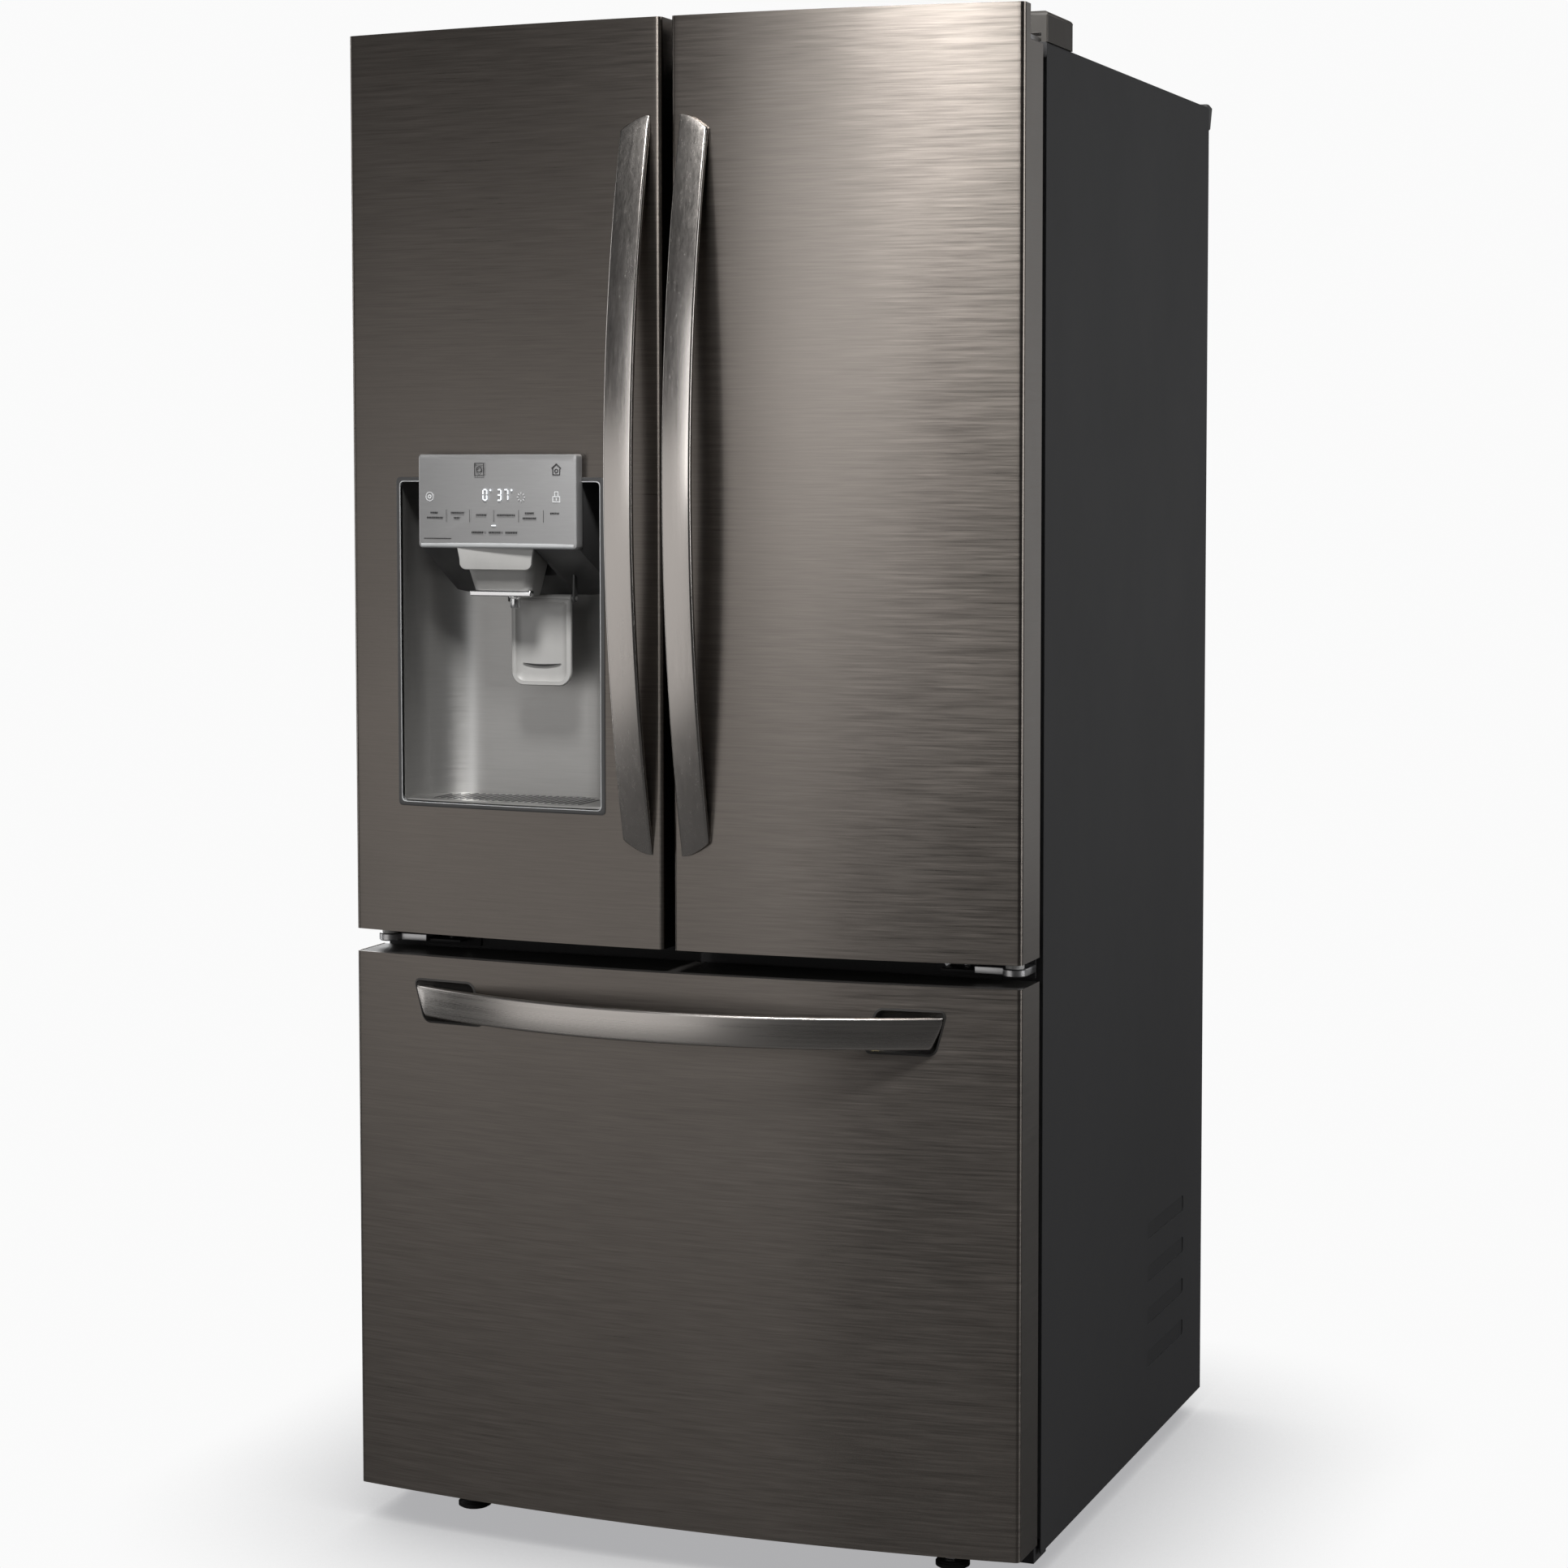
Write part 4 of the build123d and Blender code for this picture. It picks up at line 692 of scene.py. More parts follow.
def round_rect(a: Span, b: Span, radius: float, steps: int = 5) -> list[Point2]:
    """A rectangle with round corners, counter-clockwise.

    Args:
        a: span of the first coordinate.
        b: span of the second coordinate.
        radius: corner radius.
        steps: facets in each corner.

    Returns:
        The outline.
    """
    r = min(radius, (a[1] - a[0]) / 2 - 1e-6, (b[1] - b[0]) / 2 - 1e-6)
    (left, right), (low, high) = shrink(a, r), shrink(b, r)
    corners = ((right, low, -90), (right, high, 0), (left, high, 90), (left, low, 180))
    return [p for x, y, turn in corners for p in round_corner((x, y), r, turn, turn + 90, steps)]


def long_rect(a: Span, b: Span, radius: float, pieces: int = 28, steps: int = 4) -> list[Point2]:
    """A rectangle with round corners whose straight edges are in equal pieces, so that they can be bent.

    Args:
        a: span of the first coordinate.
        b: span of the second coordinate.
        radius: corner radius.
        pieces: pieces in each straight edge.
        steps: facets in each corner.

    Returns:
        The outline.
    """
    corners = round_rect(a, b, radius, steps)
    points = []
    for i, p in enumerate(corners):
        points.append(p)
        if i % (steps + 1) == steps:
            q = corners[(i + 1) % len(corners)]
            for step in range(1, pieces):
                points.append(tuple(p[k] + (q[k] - p[k]) * step / pieces for k in (0, 1)))
    return points


def combine(piece: Mesh, other: Mesh, operation: str = "DIFFERENCE") -> Mesh:
    """Cuts one mesh with another, joins them or keeps what they share.

    Args:
        piece: the mesh to work on.
        other: the mesh that cuts it or joins it.
        operation: DIFFERENCE, UNION or INTERSECT.

    Returns:
        A new mesh.
    """
    scene = bpy.context.scene.collection.objects
    target = bpy.data.objects.new("target", piece)
    tool = bpy.data.objects.new("tool", other)
    scene.link(target)
    scene.link(tool)
    step = target.modifiers.new("step", "BOOLEAN")
    step.operation, step.object, step.solver = operation, tool, "EXACT"
    made = bpy.data.meshes.new_from_object(target.evaluated_get(bpy.context.evaluated_depsgraph_get()))
    bpy.data.objects.remove(target)
    bpy.data.objects.remove(tool)
    return made


def merge(name: str, meshes: list[Mesh]) -> Mesh:
    """Several separate meshes as one mesh.

    Args:
        name: the new mesh's name.
        meshes: the meshes.

    Returns:
        The mesh that holds them all.
    """
    bm = bmesh.new()
    for mesh in meshes:
        bm.from_mesh(mesh)
    made = bpy.data.meshes.new(name)
    bm.to_mesh(made)
    bm.free()
    return made


def settle(piece: bpy.types.Object, body: Body, slot: Slot, *nodes: str) -> bpy.types.Object:
    """Puts a piece on its body, in place of its CAD nodes.

    Args:
        piece: the piece.
        body: the body it rides on.
        slot: the record's slot of its finish; not used.
        nodes: the CAD nodes that it stands for.

    Returns:
        The piece.
    """
    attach(piece, body.value)
    if nodes:
        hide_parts(*nodes)
    LOG.info("%s on %s", piece.name, body.value)
    return piece


# ---------------------------------------------------------------- doors and drawer front
@dataclass(frozen=True)
class Bow:
    """The round front that the doors and the drawer share: part of one wide cylinder."""

    half: float
    rise: float
    apex: float

    @property
    def radius(self) -> float:
        """Radius of the cylinder."""
        return (self.half**2 + self.rise**2) / (2 * self.rise)

    def y(self, x: float, proud: float = 0.0) -> float:
        """Where the front is at x, or a surface that stands that much proud of it."""
        return self.apex + self.radius - math.sqrt((self.radius + proud) ** 2 - x**2)

    def line(self, x: Span, proud: float = 0.0, steps: int = 24) -> list[Point2]:
        """Points along the front from one x to the other."""
        return [(a, self.y(a, proud)) for a in (x[0] + (x[1] - x[0]) * i / steps for i in range(steps + 1))]


@dataclass
class Front:
    """One bowed steel front: a door's or the drawer's."""

    title: str
    body: Body
    bow: Bow
    sheet: float = 0.0015
    corner: float = 0.006
    steps: int = 96

    def __post_init__(self) -> None:
        """Reads the front's place from its CAD skin."""
        self.node = f"{self.title}_skin"
        low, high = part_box(self.node)
        self.x: Span = (low.x, high.x)
        self.z: Span = (low.z, high.z)
        self.back: float = high.y

    def plan(self, inset: float) -> list[Point2]:
        """The skin's outline from above, from its left rear edge round to its right one.

        Args:
            inset: distance inside the outer face.

        Returns:
            The outline, open at the back.
        """
        big, small = self.bow.radius - inset, max(self.corner - inset, 0.001)
        centre_y = self.bow.apex + self.bow.radius
        left, right = self.x[0] + inset, self.x[1] - inset
        ends = []
        for edge, sign in ((left, 1), (right, -1)):
            cx = edge + sign * small
            cy = centre_y - math.sqrt((big - small) ** 2 - cx**2)
            touch = math.degrees(math.atan2(cy - centre_y, cx))
            ends.append((cx, cy, touch))
        (lx, ly, lt), (rx, ry, rt) = ends
        points = [(left, self.back)]
        points += round_corner((lx, ly), small, -180, lt, 6)
        points += round_corner((0.0, centre_y), big, lt, rt, self.steps)[1:-1]
        points += round_corner((rx, ry), small, rt, 0, 6)
        return points + [(right, self.back)]

    def skin_mesh(self) -> Mesh:
        """The folded sheet: front, rounded corners and side returns."""
        outer, inner = self.plan(0.0), self.plan(self.sheet)
        count = len(outer)
        verts = [(x, y, z) for z in self.z for ring in (outer, inner) for x, y in ring]
        faces = []
        for i in range(count - 1):
            faces.append((i, i + 1, 2 * count + i + 1, 2 * count + i))
            faces.append((count + i, count + i + 1, 3 * count + i + 1, 3 * count + i))
            for level in (0, 2 * count):
                faces.append((level + i, level + i + 1, level + count + i + 1, level + count + i))
        for i in (0, count - 1):
            faces.append((i, count + i, 3 * count + i, 2 * count + i))
        return mesh_from(self.node, verts, faces)

    def build(self, cutters: list[Mesh]) -> bpy.types.Object:
        """Makes the skin.

        Args:
            cutters: what is cut out of it.

        Returns:
            The skin.
        """
        mesh = self.skin_mesh()
        for cutter in cutters:
            mesh = combine(mesh, cutter)
        piece = new_piece(f"{self.title}_steel", mesh, Finish.DOOR_STEEL, 30)
        flatten(piece)
        return settle(piece, self.body, Slot.BLACK_STEEL, self.node)


@dataclass
class DoorHandle:
    """A bowed metal strip whose slanted ends run into a door."""

    title: str
    body: Body
    bow: Bow
    near: int
    thick: float = 0.008
    round_edge: float = 0.0028
    slant: float = 0.016
    curve: float = 0.62
    rows: int = 120
    sink: float = 0.0012

    def __post_init__(self) -> None:
        """Reads the strip's place from its CAD node."""
        low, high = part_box(f"{self.title}_handle")
        self.x: Span = (low.x, high.x)
        self.z: Span = (low.z + 0.0005, high.z - 0.0005)
        self.front = low.y
        self.surface = self.bow.y((low.x + high.x) / 2)

    def ring(self, share: float, radius: float, centre: Point2) -> list[tuple]:
        """The strip's section at a height.

        Args:
            share: 0 at the lower end and 1 at the upper end.
            radius: the outer radius of the bow.
            centre: the y and z of the bow's centre.

        Returns:
            The points of the section.
        """
        z = self.z[0] + (self.z[1] - self.z[0]) * share
        end = min(z - self.z[0], self.z[1] - z)
        cut = max(0.0, 1 - (end / self.slant) ** self.curve) * (self.x[1] - self.x[0] - 0.004)
        x = (self.x[0], self.x[1] - cut) if self.near < 0 else (self.x[0] + cut, self.x[1])
        outer = centre[0] - math.sqrt(max(radius**2 - (z - centre[1]) ** 2, 0.0))
        inner_radius = radius - self.thick
        reach = inner_radius**2 - (z - centre[1]) ** 2
        inner = centre[0] - math.sqrt(reach) if reach > 0 else self.surface
        outer = min(outer, self.surface - 0.0006)
        inner = min(max(inner, outer + 0.0016), self.surface + self.sink)
        outline = round_rect(x, (outer, inner), min(self.round_edge, (inner - outer) * 0.45), 5)
        return [(a, b, z) for a, b in outline]

    def build(self) -> bpy.types.Object:
        """Makes the strip."""
        half = (self.z[1] - self.z[0]) / 2 + 0.009
        rise = self.surface - self.front
        radius = (half**2 + rise**2) / (2 * rise)
        centre = (self.front + radius, (self.z[0] + self.z[1]) / 2)
        shares = [0.5 - 0.5 * math.cos(math.pi * (0.02 + 0.96 * i / self.rows)) for i in range(self.rows + 1)]
        first, last = shares[0], shares[-1]
        rings = [self.ring((s - first) / (last - first), radius, centre) for s in shares]
        piece = new_piece(f"{self.title}_handle_strip", loft("handle", rings), Finish.HANDLE, 40)
        return settle(piece, self.body, Slot.HANDLE, f"{self.title}_handle")


@dataclass
class DrawerHandle:
    """The drawer's bowed strip, and the two pocket cups that its ends stand in."""

    bow: Bow
    thick: float = 0.008
    round_edge: float = 0.003
    cup_wall: float = 0.002
    cup_corner: float = 0.006
    cup_depth: float = 0.010
    cup_long: float = 0.077
    cup_tall: float = 0.046
    cup_edge: float = 0.003
    slant: float = 0.012
    shear: float = 0.27
    rows: int = 120

    def __post_init__(self) -> None:
        """Reads the strip's place from its CAD node."""
        low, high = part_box("drawer_handle")
        self.half = high.x - self.cup_wall - self.cup_edge
        self.mid = (low.z + high.z) / 2
        self.tall = high.z - low.z - 2 * self.cup_wall - 0.010
        self.front = low.y

    def cup_spans(self, side: int, grow: float) -> tuple[Span, Span]:
        """A pocket's x and z spans.

        Args:
            side: -1 for the left one and 1 for the right one.
            grow: how much larger than the recess.

        Returns:
            The two spans.
        """
        far = self.half + self.cup_edge
        x = mirrored(side, far - self.cup_long, far)
        z = (self.mid - self.cup_tall / 2, self.mid + self.cup_tall / 2)
        return shrink(x, -grow), shrink(z, -grow)

    def cup_outline(self, side: int, grow: float, corner: float) -> list[Point2]:
        """A pocket from the front: longer along its upper edge than along its lower one.

        Args:
            side: -1 for the left one and 1 for the right one.
            grow: how much larger than the recess.
            corner: corner radius.

        Returns:
            The outline.
        """
        x, z = self.cup_spans(side, grow)
        return [(a + side * self.shear * (b - z[1]), b) for a, b in round_rect(x, z, corner, 6)]

    def cutters(self) -> list[Mesh]:
        """What the pockets cut out of the drawer's skin."""
        made = []
        for side in (-1, 1):
            outline = self.cup_outline(side, self.cup_wall - 0.0003, self.cup_corner + self.cup_wall)
            made.append(prism("pocket", outline, (self.bow.apex - 0.01, self.bow.y(self.half) + 0.03), "y"))
        return made

    def cup(self, side: int) -> Mesh:
        """One dished pocket with its rolled rim.

        Args:
            side: -1 for the left one and 1 for the right one.

        Returns:
            The pocket's mesh.
        """
        floor = self.bow.y(self.half + self.cup_edge - self.cup_long) + self.cup_depth
        rings = []
        for grow, out in ((self.cup_wall + 0.0012, -0.0004), (self.cup_wall * 0.4, -0.0009), (0.0, 0.0008)):
            outline = self.cup_outline(side, grow, self.cup_corner + grow)
            rings.append([(a, self.bow.y(a) + out, b) for a, b in outline])
        for grow, depth in ((-0.0006, 0.5), (-0.0022, 0.86), (-0.006, 1.0)):
            outline = self.cup_outline(side, grow, self.cup_corner + 0.002)
            rings.append([(a, self.bow.y(a) * (1 - depth) + floor * depth, b) for a, b in outline])
        back = self.cup_outline(side, self.cup_wall * 0.5, self.cup_corner)
        return loft("cup", [[(a, floor + self.cup_wall * 0.9, b) for a, b in back]] + rings)

    def strip(self) -> Mesh:
        """The bowed strip, with its ends turned in to the pockets."""
        end_y = self.bow.y(self.half) - 0.002
        rise = end_y - self.front
        radius = (self.half**2 + rise**2) / (2 * rise)
        floor = self.bow.y(self.half + self.cup_edge - self.cup_long) + self.cup_depth - 0.0005
        rings = []
        for i in range(self.rows + 1):
            x = -self.half * math.cos(math.pi * i / self.rows)
            end = (self.half - abs(x)) / self.slant
            cut = max(0.0, 1 - end**0.8) * (self.tall - 0.006)
            z = (self.mid - self.tall / 2 + cut, self.mid + self.tall / 2)
            outer = self.front + radius - math.sqrt(radius**2 - x**2)
            edge = max(0.0, 1 - (self.half - abs(x)) / 0.024)
            inner = outer + self.thick + (floor - outer - self.thick) * min(1.0, edge * 3)
            outline = round_rect((outer, inner), z, min(self.round_edge, (z[1] - z[0]) * 0.4), 5)
            rings.append([(x, a, b) for a, b in outline])
        return loft("strip", rings)

    def build(self) -> None:
        """Makes the strip and the two cups."""
        strip = new_piece("drawer_handle_strip", self.strip(), Finish.DRAWER_HANDLE, 40)
        settle(strip, Body.DRAWER, Slot.HANDLE, "drawer_handle")
        for side, word in ((-1, "left"), (1, "right")):
            cup = new_piece(f"drawer_handle_cup_{word}", self.cup(side), Finish.CAP_PLASTIC, 45)
            settle(cup, Body.DRAWER, Slot.BLACK_PLASTIC, "drawer_handle")


@dataclass
class Gasket:
    """A magnetic seal: a bellows with a soft magnet pocket, mitred at its corners."""

    title: str
    body: Body

    def build(self) -> bpy.types.Object:
        """Makes the seal."""
        node = f"{self.title}_gasket"
        low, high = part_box(node)
        deep, wide = high.y - low.y, 0.014
        half = [(0.85, 0.0), (0.85, 0.14), (0.97, 0.22), (0.97, 0.36), (0.80, 0.46), (0.97, 0.56)]
        half += [(1.0, 0.70), (1.0, 0.93), (0.93, 1.0)]
        profile = half + [(1 - a, b) for a, b in reversed(half)]
        left, right = (low.x, 1), (high.x, -1)
        bottom, top = (low.z, 1), (high.z, -1)
        rings = []
        for (x, way_x), (z, way_z) in ((left, bottom), (right, bottom), (right, top), (left, top)):
            rings.append([(x + way_x * a * wide, low.y + b * deep, z + way_z * a * wide) for a, b in profile])
        piece = new_piece(f"{self.title}_seal", loft("seal", rings, closed=True), Finish.RUBBER, 50)
        return settle(piece, self.body, Slot.RUBBER, node)


# ---------------------------------------------------------------- dispenser
@dataclass
class Dispenser:
    """Niche, hood, control panel, chute, nozzle, lever and tray in the left door."""

    bow: Bow
    wall: float = 0.003
    rear_corner: float = 0.070
    lip_proud: float = 0.0012
    hood_drop: float = 0.058
    panel_proud: float = 0.015
    nozzle_x: float = -0.203

    def __post_init__(self) -> None:
        """Reads the niche's and the panel's places from their CAD nodes."""
        low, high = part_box("dispenser_housing")
        self.x: Span = (low.x, high.x)
        self.z: Span = (low.z, high.z)
        self.back = high.y - self.wall
        low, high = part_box("control_panel")
        self.panel_x: Span = (low.x, high.x)
        self.panel_z: Span = (low.z, high.z)

    def plan(self, inset: float, proud: float) -> list[Point2]:
        """The niche from above: a bowed front, straight sides and round rear corners.

        Args:
            inset: distance inside the outer face.
            proud: how far its front stands out from the door.

        Returns:
            The outline.
        """
        left, right = self.x[0] + inset, self.x[1] - inset
        rear, r = self.back + self.wall - inset, self.rear_corner - inset
        points = self.bow.line((left, right), proud)
        points += round_corner((right - r, rear - r), r, 0, 90, 12)
        return points + round_corner((left + r, rear - r), r, 90, 180, 12)

    def put(
        self, name: str, mesh: Mesh, finish: Finish, smooth: float, node: str, body: Body = Body.LEFT_DOOR
    ) -> None:
        """Puts one of the dispenser's pieces in place of a CAD node.

        Args:
            name: the piece's name.
            mesh: its mesh.
            finish: its finish.
            smooth: edges sharper than this many degrees stay sharp.
            node: the CAD node that it stands for.
            body: the body that it rides on.
        """
        slot = Slot.PANEL if node == "control_panel" else Slot.NICHE
        settle(new_piece(name, mesh, finish, smooth), body, slot, node)

    def cutter(self) -> Mesh:
        """The opening in the door's skin."""
        outline = round_rect(self.x, self.z, 0.004)
        return prism("opening", outline, (self.bow.apex - 0.02, self.back), "y")

    def hood_low(self, x: float, y: float) -> float:
        """Height of the hood's sloping underside at x and y: it starts at the panel's lower edge."""
        front = self.bow.y(x, self.panel_proud - 0.006)
        return self.panel_z[0] + 0.001 - self.hood_drop * max(0.0, y - front) / (self.back - front)

    def housing(self) -> None:
        """The niche, its rim and its hood."""
        outer = prism("niche", self.plan(0.0003, -0.0002), self.z)
        inner = prism("cavity", self.plan(self.wall, 0.02), (self.z[0] + self.wall, self.z[1] - self.wall))
        shell = combine(outer, inner)
        soften(shell, 0.0008, 2, 60)
        self.put("dispenser_niche", shell, Finish.NICHE, 35, "dispenser_housing")
        rear, top = self.back - 0.0005, self.z[1] - self.wall
        left, right = self.panel_x[0] + 0.001, self.panel_x[1] - 0.001
        rings = []
        for x, front in self.bow.line((left, right), self.panel_proud - 0.006, 12):
            section = [(x, y, self.hood_low(x, y)) for y in (front, rear)]
            rings.append(section + [(x, rear, top), (x, front, top)])
        hood = loft("hood", rings)
        low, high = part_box("dispenser_chute")
        room = Vector((0.001, 0.001, 0.001))
        socket = slab("socket", (*(low - room).xy, low.z), high + room, 0.004)
        hood = combine(hood, socket)
        soften(hood, 0.0012, 2, 50)
        self.put("dispenser_hood", hood, Finish.DARK_GREY, 35, "dispenser_housing")
        self.rim()
        self.ears()

    def rim(self) -> None:
        """The raised frame round the niche, with its bright inner bead."""
        for name, finish, grow, width, proud in (
            ("dispenser_rim", Finish.DARK_GREY, 0.0025, 0.0055, self.lip_proud),
            ("dispenser_bead", Finish.TRIM_GREY, -0.0018, 0.0012, self.lip_proud + 0.0004),
        ):
            brow = proud * 0.6
            rise = ((0.0, -0.0004), (0.0, brow), (0.25, proud), (0.75, proud), (1.0, brow), (1.0, -0.004))
            rings = []
            for share, out in rise:
                inset = -grow + width * share
                outline = long_rect(shrink(self.x, inset), shrink(self.z, inset), 0.005)
                rings.append([(a, self.bow.y(a, out), b) for a, b in outline])
            self.put(name, loft(name, rings, closed=True), finish, 50, "dispenser_housing")

    def ears(self) -> None:
        """The two ears that the lever's pin turns in."""
        low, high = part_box("dispenser_lever")
        pivot_y = high.y - 0.0045
        for x, word in ((low.x + 0.0010, "left"), (high.x - 0.0045, "right")):
            top = self.hood_low(x, pivot_y) + 0.004
            ear_low = (x, pivot_y - 0.0045, high.z - 0.0095)
            ear = slab("ear", ear_low, (x + 0.0035, pivot_y + 0.0045, top), 0.0012)
            self.put(f"lever_ear_{word}", ear, Finish.DARK_GREY, 35, "dispenser_housing")

    def panel(self) -> None:
        """The display panel: brushed face, lip and marks."""
        x, z = self.panel_x, self.panel_z
        face = self.panel_proud
        rings = []
        for inset, proud in ((0.0, -0.0004), (0.0, face - 0.003), (0.0009, face - 0.0009), (0.003, face)):
            outline = long_rect(shrink(x, inset), shrink(z, inset), 0.0035)
            rings.append([(a, self.bow.y(a, proud), b) for a, b in outline])
        self.put("control_panel_body", loft("panel", rings), Finish.PANEL_FACE, 30, "control_panel")
        r = 0.0032
        circle = round_corner((0, 0), 1, 0, 345, 23)
        rings = []
        for a, y in self.bow.line(shrink(x, 0.004), face - 0.0022):
            rings.append([(a, y + b * r * 0.9, z[0] + r + c * r) for b, c in circle])
        self.put("control_panel_lip", loft("lip", rings), Finish.TRIM_GREY, 50, "control_panel")
        PanelMarks(self.bow, self.panel_proud, (x[0], z[1])).build()

    def chute(self) -> None:
        """The ice chute: a rounded front plate over a darker tapering body, its bright lip and the nozzle."""
        low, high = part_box("dispenser_chute")
        foot = low.z + 0.015
        taper = 0.014
        levels = []
        for share in (0.0, 0.04, 0.5, 0.96, 1.0):
            z = foot + (high.z - foot) * share
            pinch = taper * (1 - share) + (0.0012 if share in (0.0, 1.0) else 0.0)
            x = (low.x + pinch, high.x - pinch)
            y = (low.y + pinch, high.y - pinch / 2)
            levels.append([(a, b, z) for a, b in round_rect(x, y, 0.012, 6)])
        body = loft("chute", levels)
        hole_x = (low.x + taper + 0.030, high.x - taper - 0.008)
        hole = round_rect(hole_x, (low.y + taper + 0.008, high.y - 0.015), 0.008)
        body = combine(body, prism("throat", hole, (foot - 0.002, high.z + 0.002)))
        self.put("chute_body", body, Finish.CHUTE, 35, "dispenser_chute")
        bend, r = 0.012, 0.009
        upper, lower, turn_z = high.z - 0.002, high.z - 0.020, high.z - 0.024
        plate = [(high.x + 0.001, upper), (low.x - 0.001, upper), (low.x + 0.003, lower)]
        plate += round_corner((low.x + bend, turn_z), r, 200, 262, 6)
        plate += round_corner((high.x - bend, turn_z), r, 278, 340, 6)
        face = prism("plate", plate + [(high.x - 0.003, lower)], (low.y - 0.0012, low.y + 0.004), "y")
        soften(face, 0.001, 3, 30)
        self.put("chute_front_plate", face, Finish.GREY_PLASTIC, 40, "dispenser_chute")
        lip_low = (low.x + taper - 0.004, low.y + taper - 0.003, foot - 0.001)
        lip_high = (high.x - taper + 0.004, low.y + taper + 0.006, foot + 0.006)
        self.put("chute_lip", slab("lip", lip_low, lip_high, 0.0015, 3), Finish.CHROME, 40, "dispenser_chute")
        bore, tip, collar = 0.0034, 0.006, 0.0075
        profile = [(bore, 0.0), (tip - 0.0004, 0.0), (tip, 0.0006), (tip, 0.011), (collar, 0.0125)]
        profile += [(collar, 0.018), (bore, 0.018), (bore, 0.006)]
        nozzle = turned("nozzle", profile, (self.nozzle_x, (low.y + high.y) / 2 + 0.002, low.z))
        self.put("water_nozzle", nozzle, Finish.CHROME, 40, "dispenser_chute")

    def lever(self) -> None:
        """The paddle: a raised border round a dished pad, with a dark crescent painted as the shadow in its
        finger slot.
        """
        low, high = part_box("dispenser_lever")
        x = (low.x + 0.006, high.x - 0.006)
        front, rear = high.y - 0.0095, high.y - 0.0045
        z = (low.z, high.z - 0.0045)
        rings = []
        edge = ((0.0008, rear), (0.0, rear - 0.0008), (0.0, front + 0.0008), (0.0012, front - 0.0004))
        border = ((0.0055, front - 0.0004), (0.0075, front + 0.0020))
        dish = ((0.014, front + 0.0028), (0.024, front + 0.0032), (0.034, front + 0.0034))
        for inset, y in edge + border + dish:
            rings.append([(a, y, b) for a, b in self.paddle_outline(x, z, inset)])
        paddle = loft("paddle", rings)
        self.put("lever_paddle", paddle, Finish.GREY_PLASTIC, 45, "dispenser_lever", Body.LEVER)
        # A dark ink crescent in the pad's finger slot: painted shadow.
        mid = (x[0] + x[1]) / 2
        half, arcs = 0.0245, []
        for sag in (0.0012, 0.0036):
            steps = [2 * i / 16 - 1 for i in range(17)]
            arcs.append([(mid + t * half, z[0] + 0.0265 - sag * (1 - t * t)) for t in steps])
        slot = prism("slot", arcs[0] + arcs[1][::-1][1:-1], (front + 0.0009, front + 0.0034), "y")
        self.put("lever_slot_shadow", slot, Finish.INK_AND_SHADOW, 40, "dispenser_lever", Body.LEVER)
        centre = (0, high.y - 0.0045, high.z - 0.0045)
        rods = []
        for name, radius, chamfer, ends, steps in (
            ("barrel", 0.0045, (0.0007, 0.0006), x, 28),
            ("pin", 0.0025, (0.0004, 0.0004), (low.x, high.x), 20),
        ):
            start, end = shrink(ends, chamfer[1])
            small = radius - chamfer[0]
            profile = [(small, ends[0]), (radius, start), (radius, end), (small, ends[1])]
            rods.append(turned(name, profile, centre, "x", steps))
        barrel = merge("barrel", rods)
        self.put("lever_barrel", barrel, Finish.GREY_PLASTIC, 40, "dispenser_lever", Body.LEVER)

    def paddle_outline(self, x: Span, z: Span, inset: float) -> list[Point2]:
        """The paddle from the front: square at the top, well rounded at the bottom.

        Args:
            x: its width.
            z: its height.
            inset: distance inside its edge.

        Returns:
            The outline.
        """
        r, top = 0.016 - min(inset, 0.012), 0.003
        a, b = (x[0] + inset, x[1] - inset), (z[0] + inset, z[1] - inset * 0.8)
        points = round_corner((a[1] - r, b[0] + r), r, -90, 0, 8)
        points += round_corner((a[1] - top, b[1] - top), top, 0, 90, 3)
        points += round_corner((a[0] + top, b[1] - top), top, 90, 180, 3)
        return points + round_corner((a[0] + r, b[0] + r), r, 180, 270, 8)

    def tray(self) -> None:
        """The drip tray: a shallow dish with a slotted grille."""
        low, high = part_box("drip_tray")
        inset = self.wall + 0.0004
        outline = self.plan(inset, -0.003)
        plate = prism("tray", outline, (low.z, high.z - 0.0008))
        soften(plate, 0.0008, 2, 60)
        self.put("drip_tray_dish", plate, Finish.NICHE, 40, "drip_tray")
        bars = []
        count, mid, half = 23, (self.x[0] + self.x[1]) / 2, 0.0016
        for i in range(count):
            x = mid + (i - (count - 1) / 2) * 0.0088
            room = self.back - 0.014 - (0.0 if abs(x - mid) < 0.07 else (abs(x - mid) - 0.07) * 0.7)
            front = self.bow.y(x) + 0.016
            bars.append(slab("bar", (x - half, front, high.z - half), (x + half, room, high.z), 0.0006))
        self.put("drip_tray_grille", merge("grille", bars), Finish.DARK_GREY, 40, "drip_tray")

    def build(self) -> None:
        """Makes every piece of the dispenser."""
        self.housing()
        self.panel()
        self.chute()
        self.lever()
        self.tray()


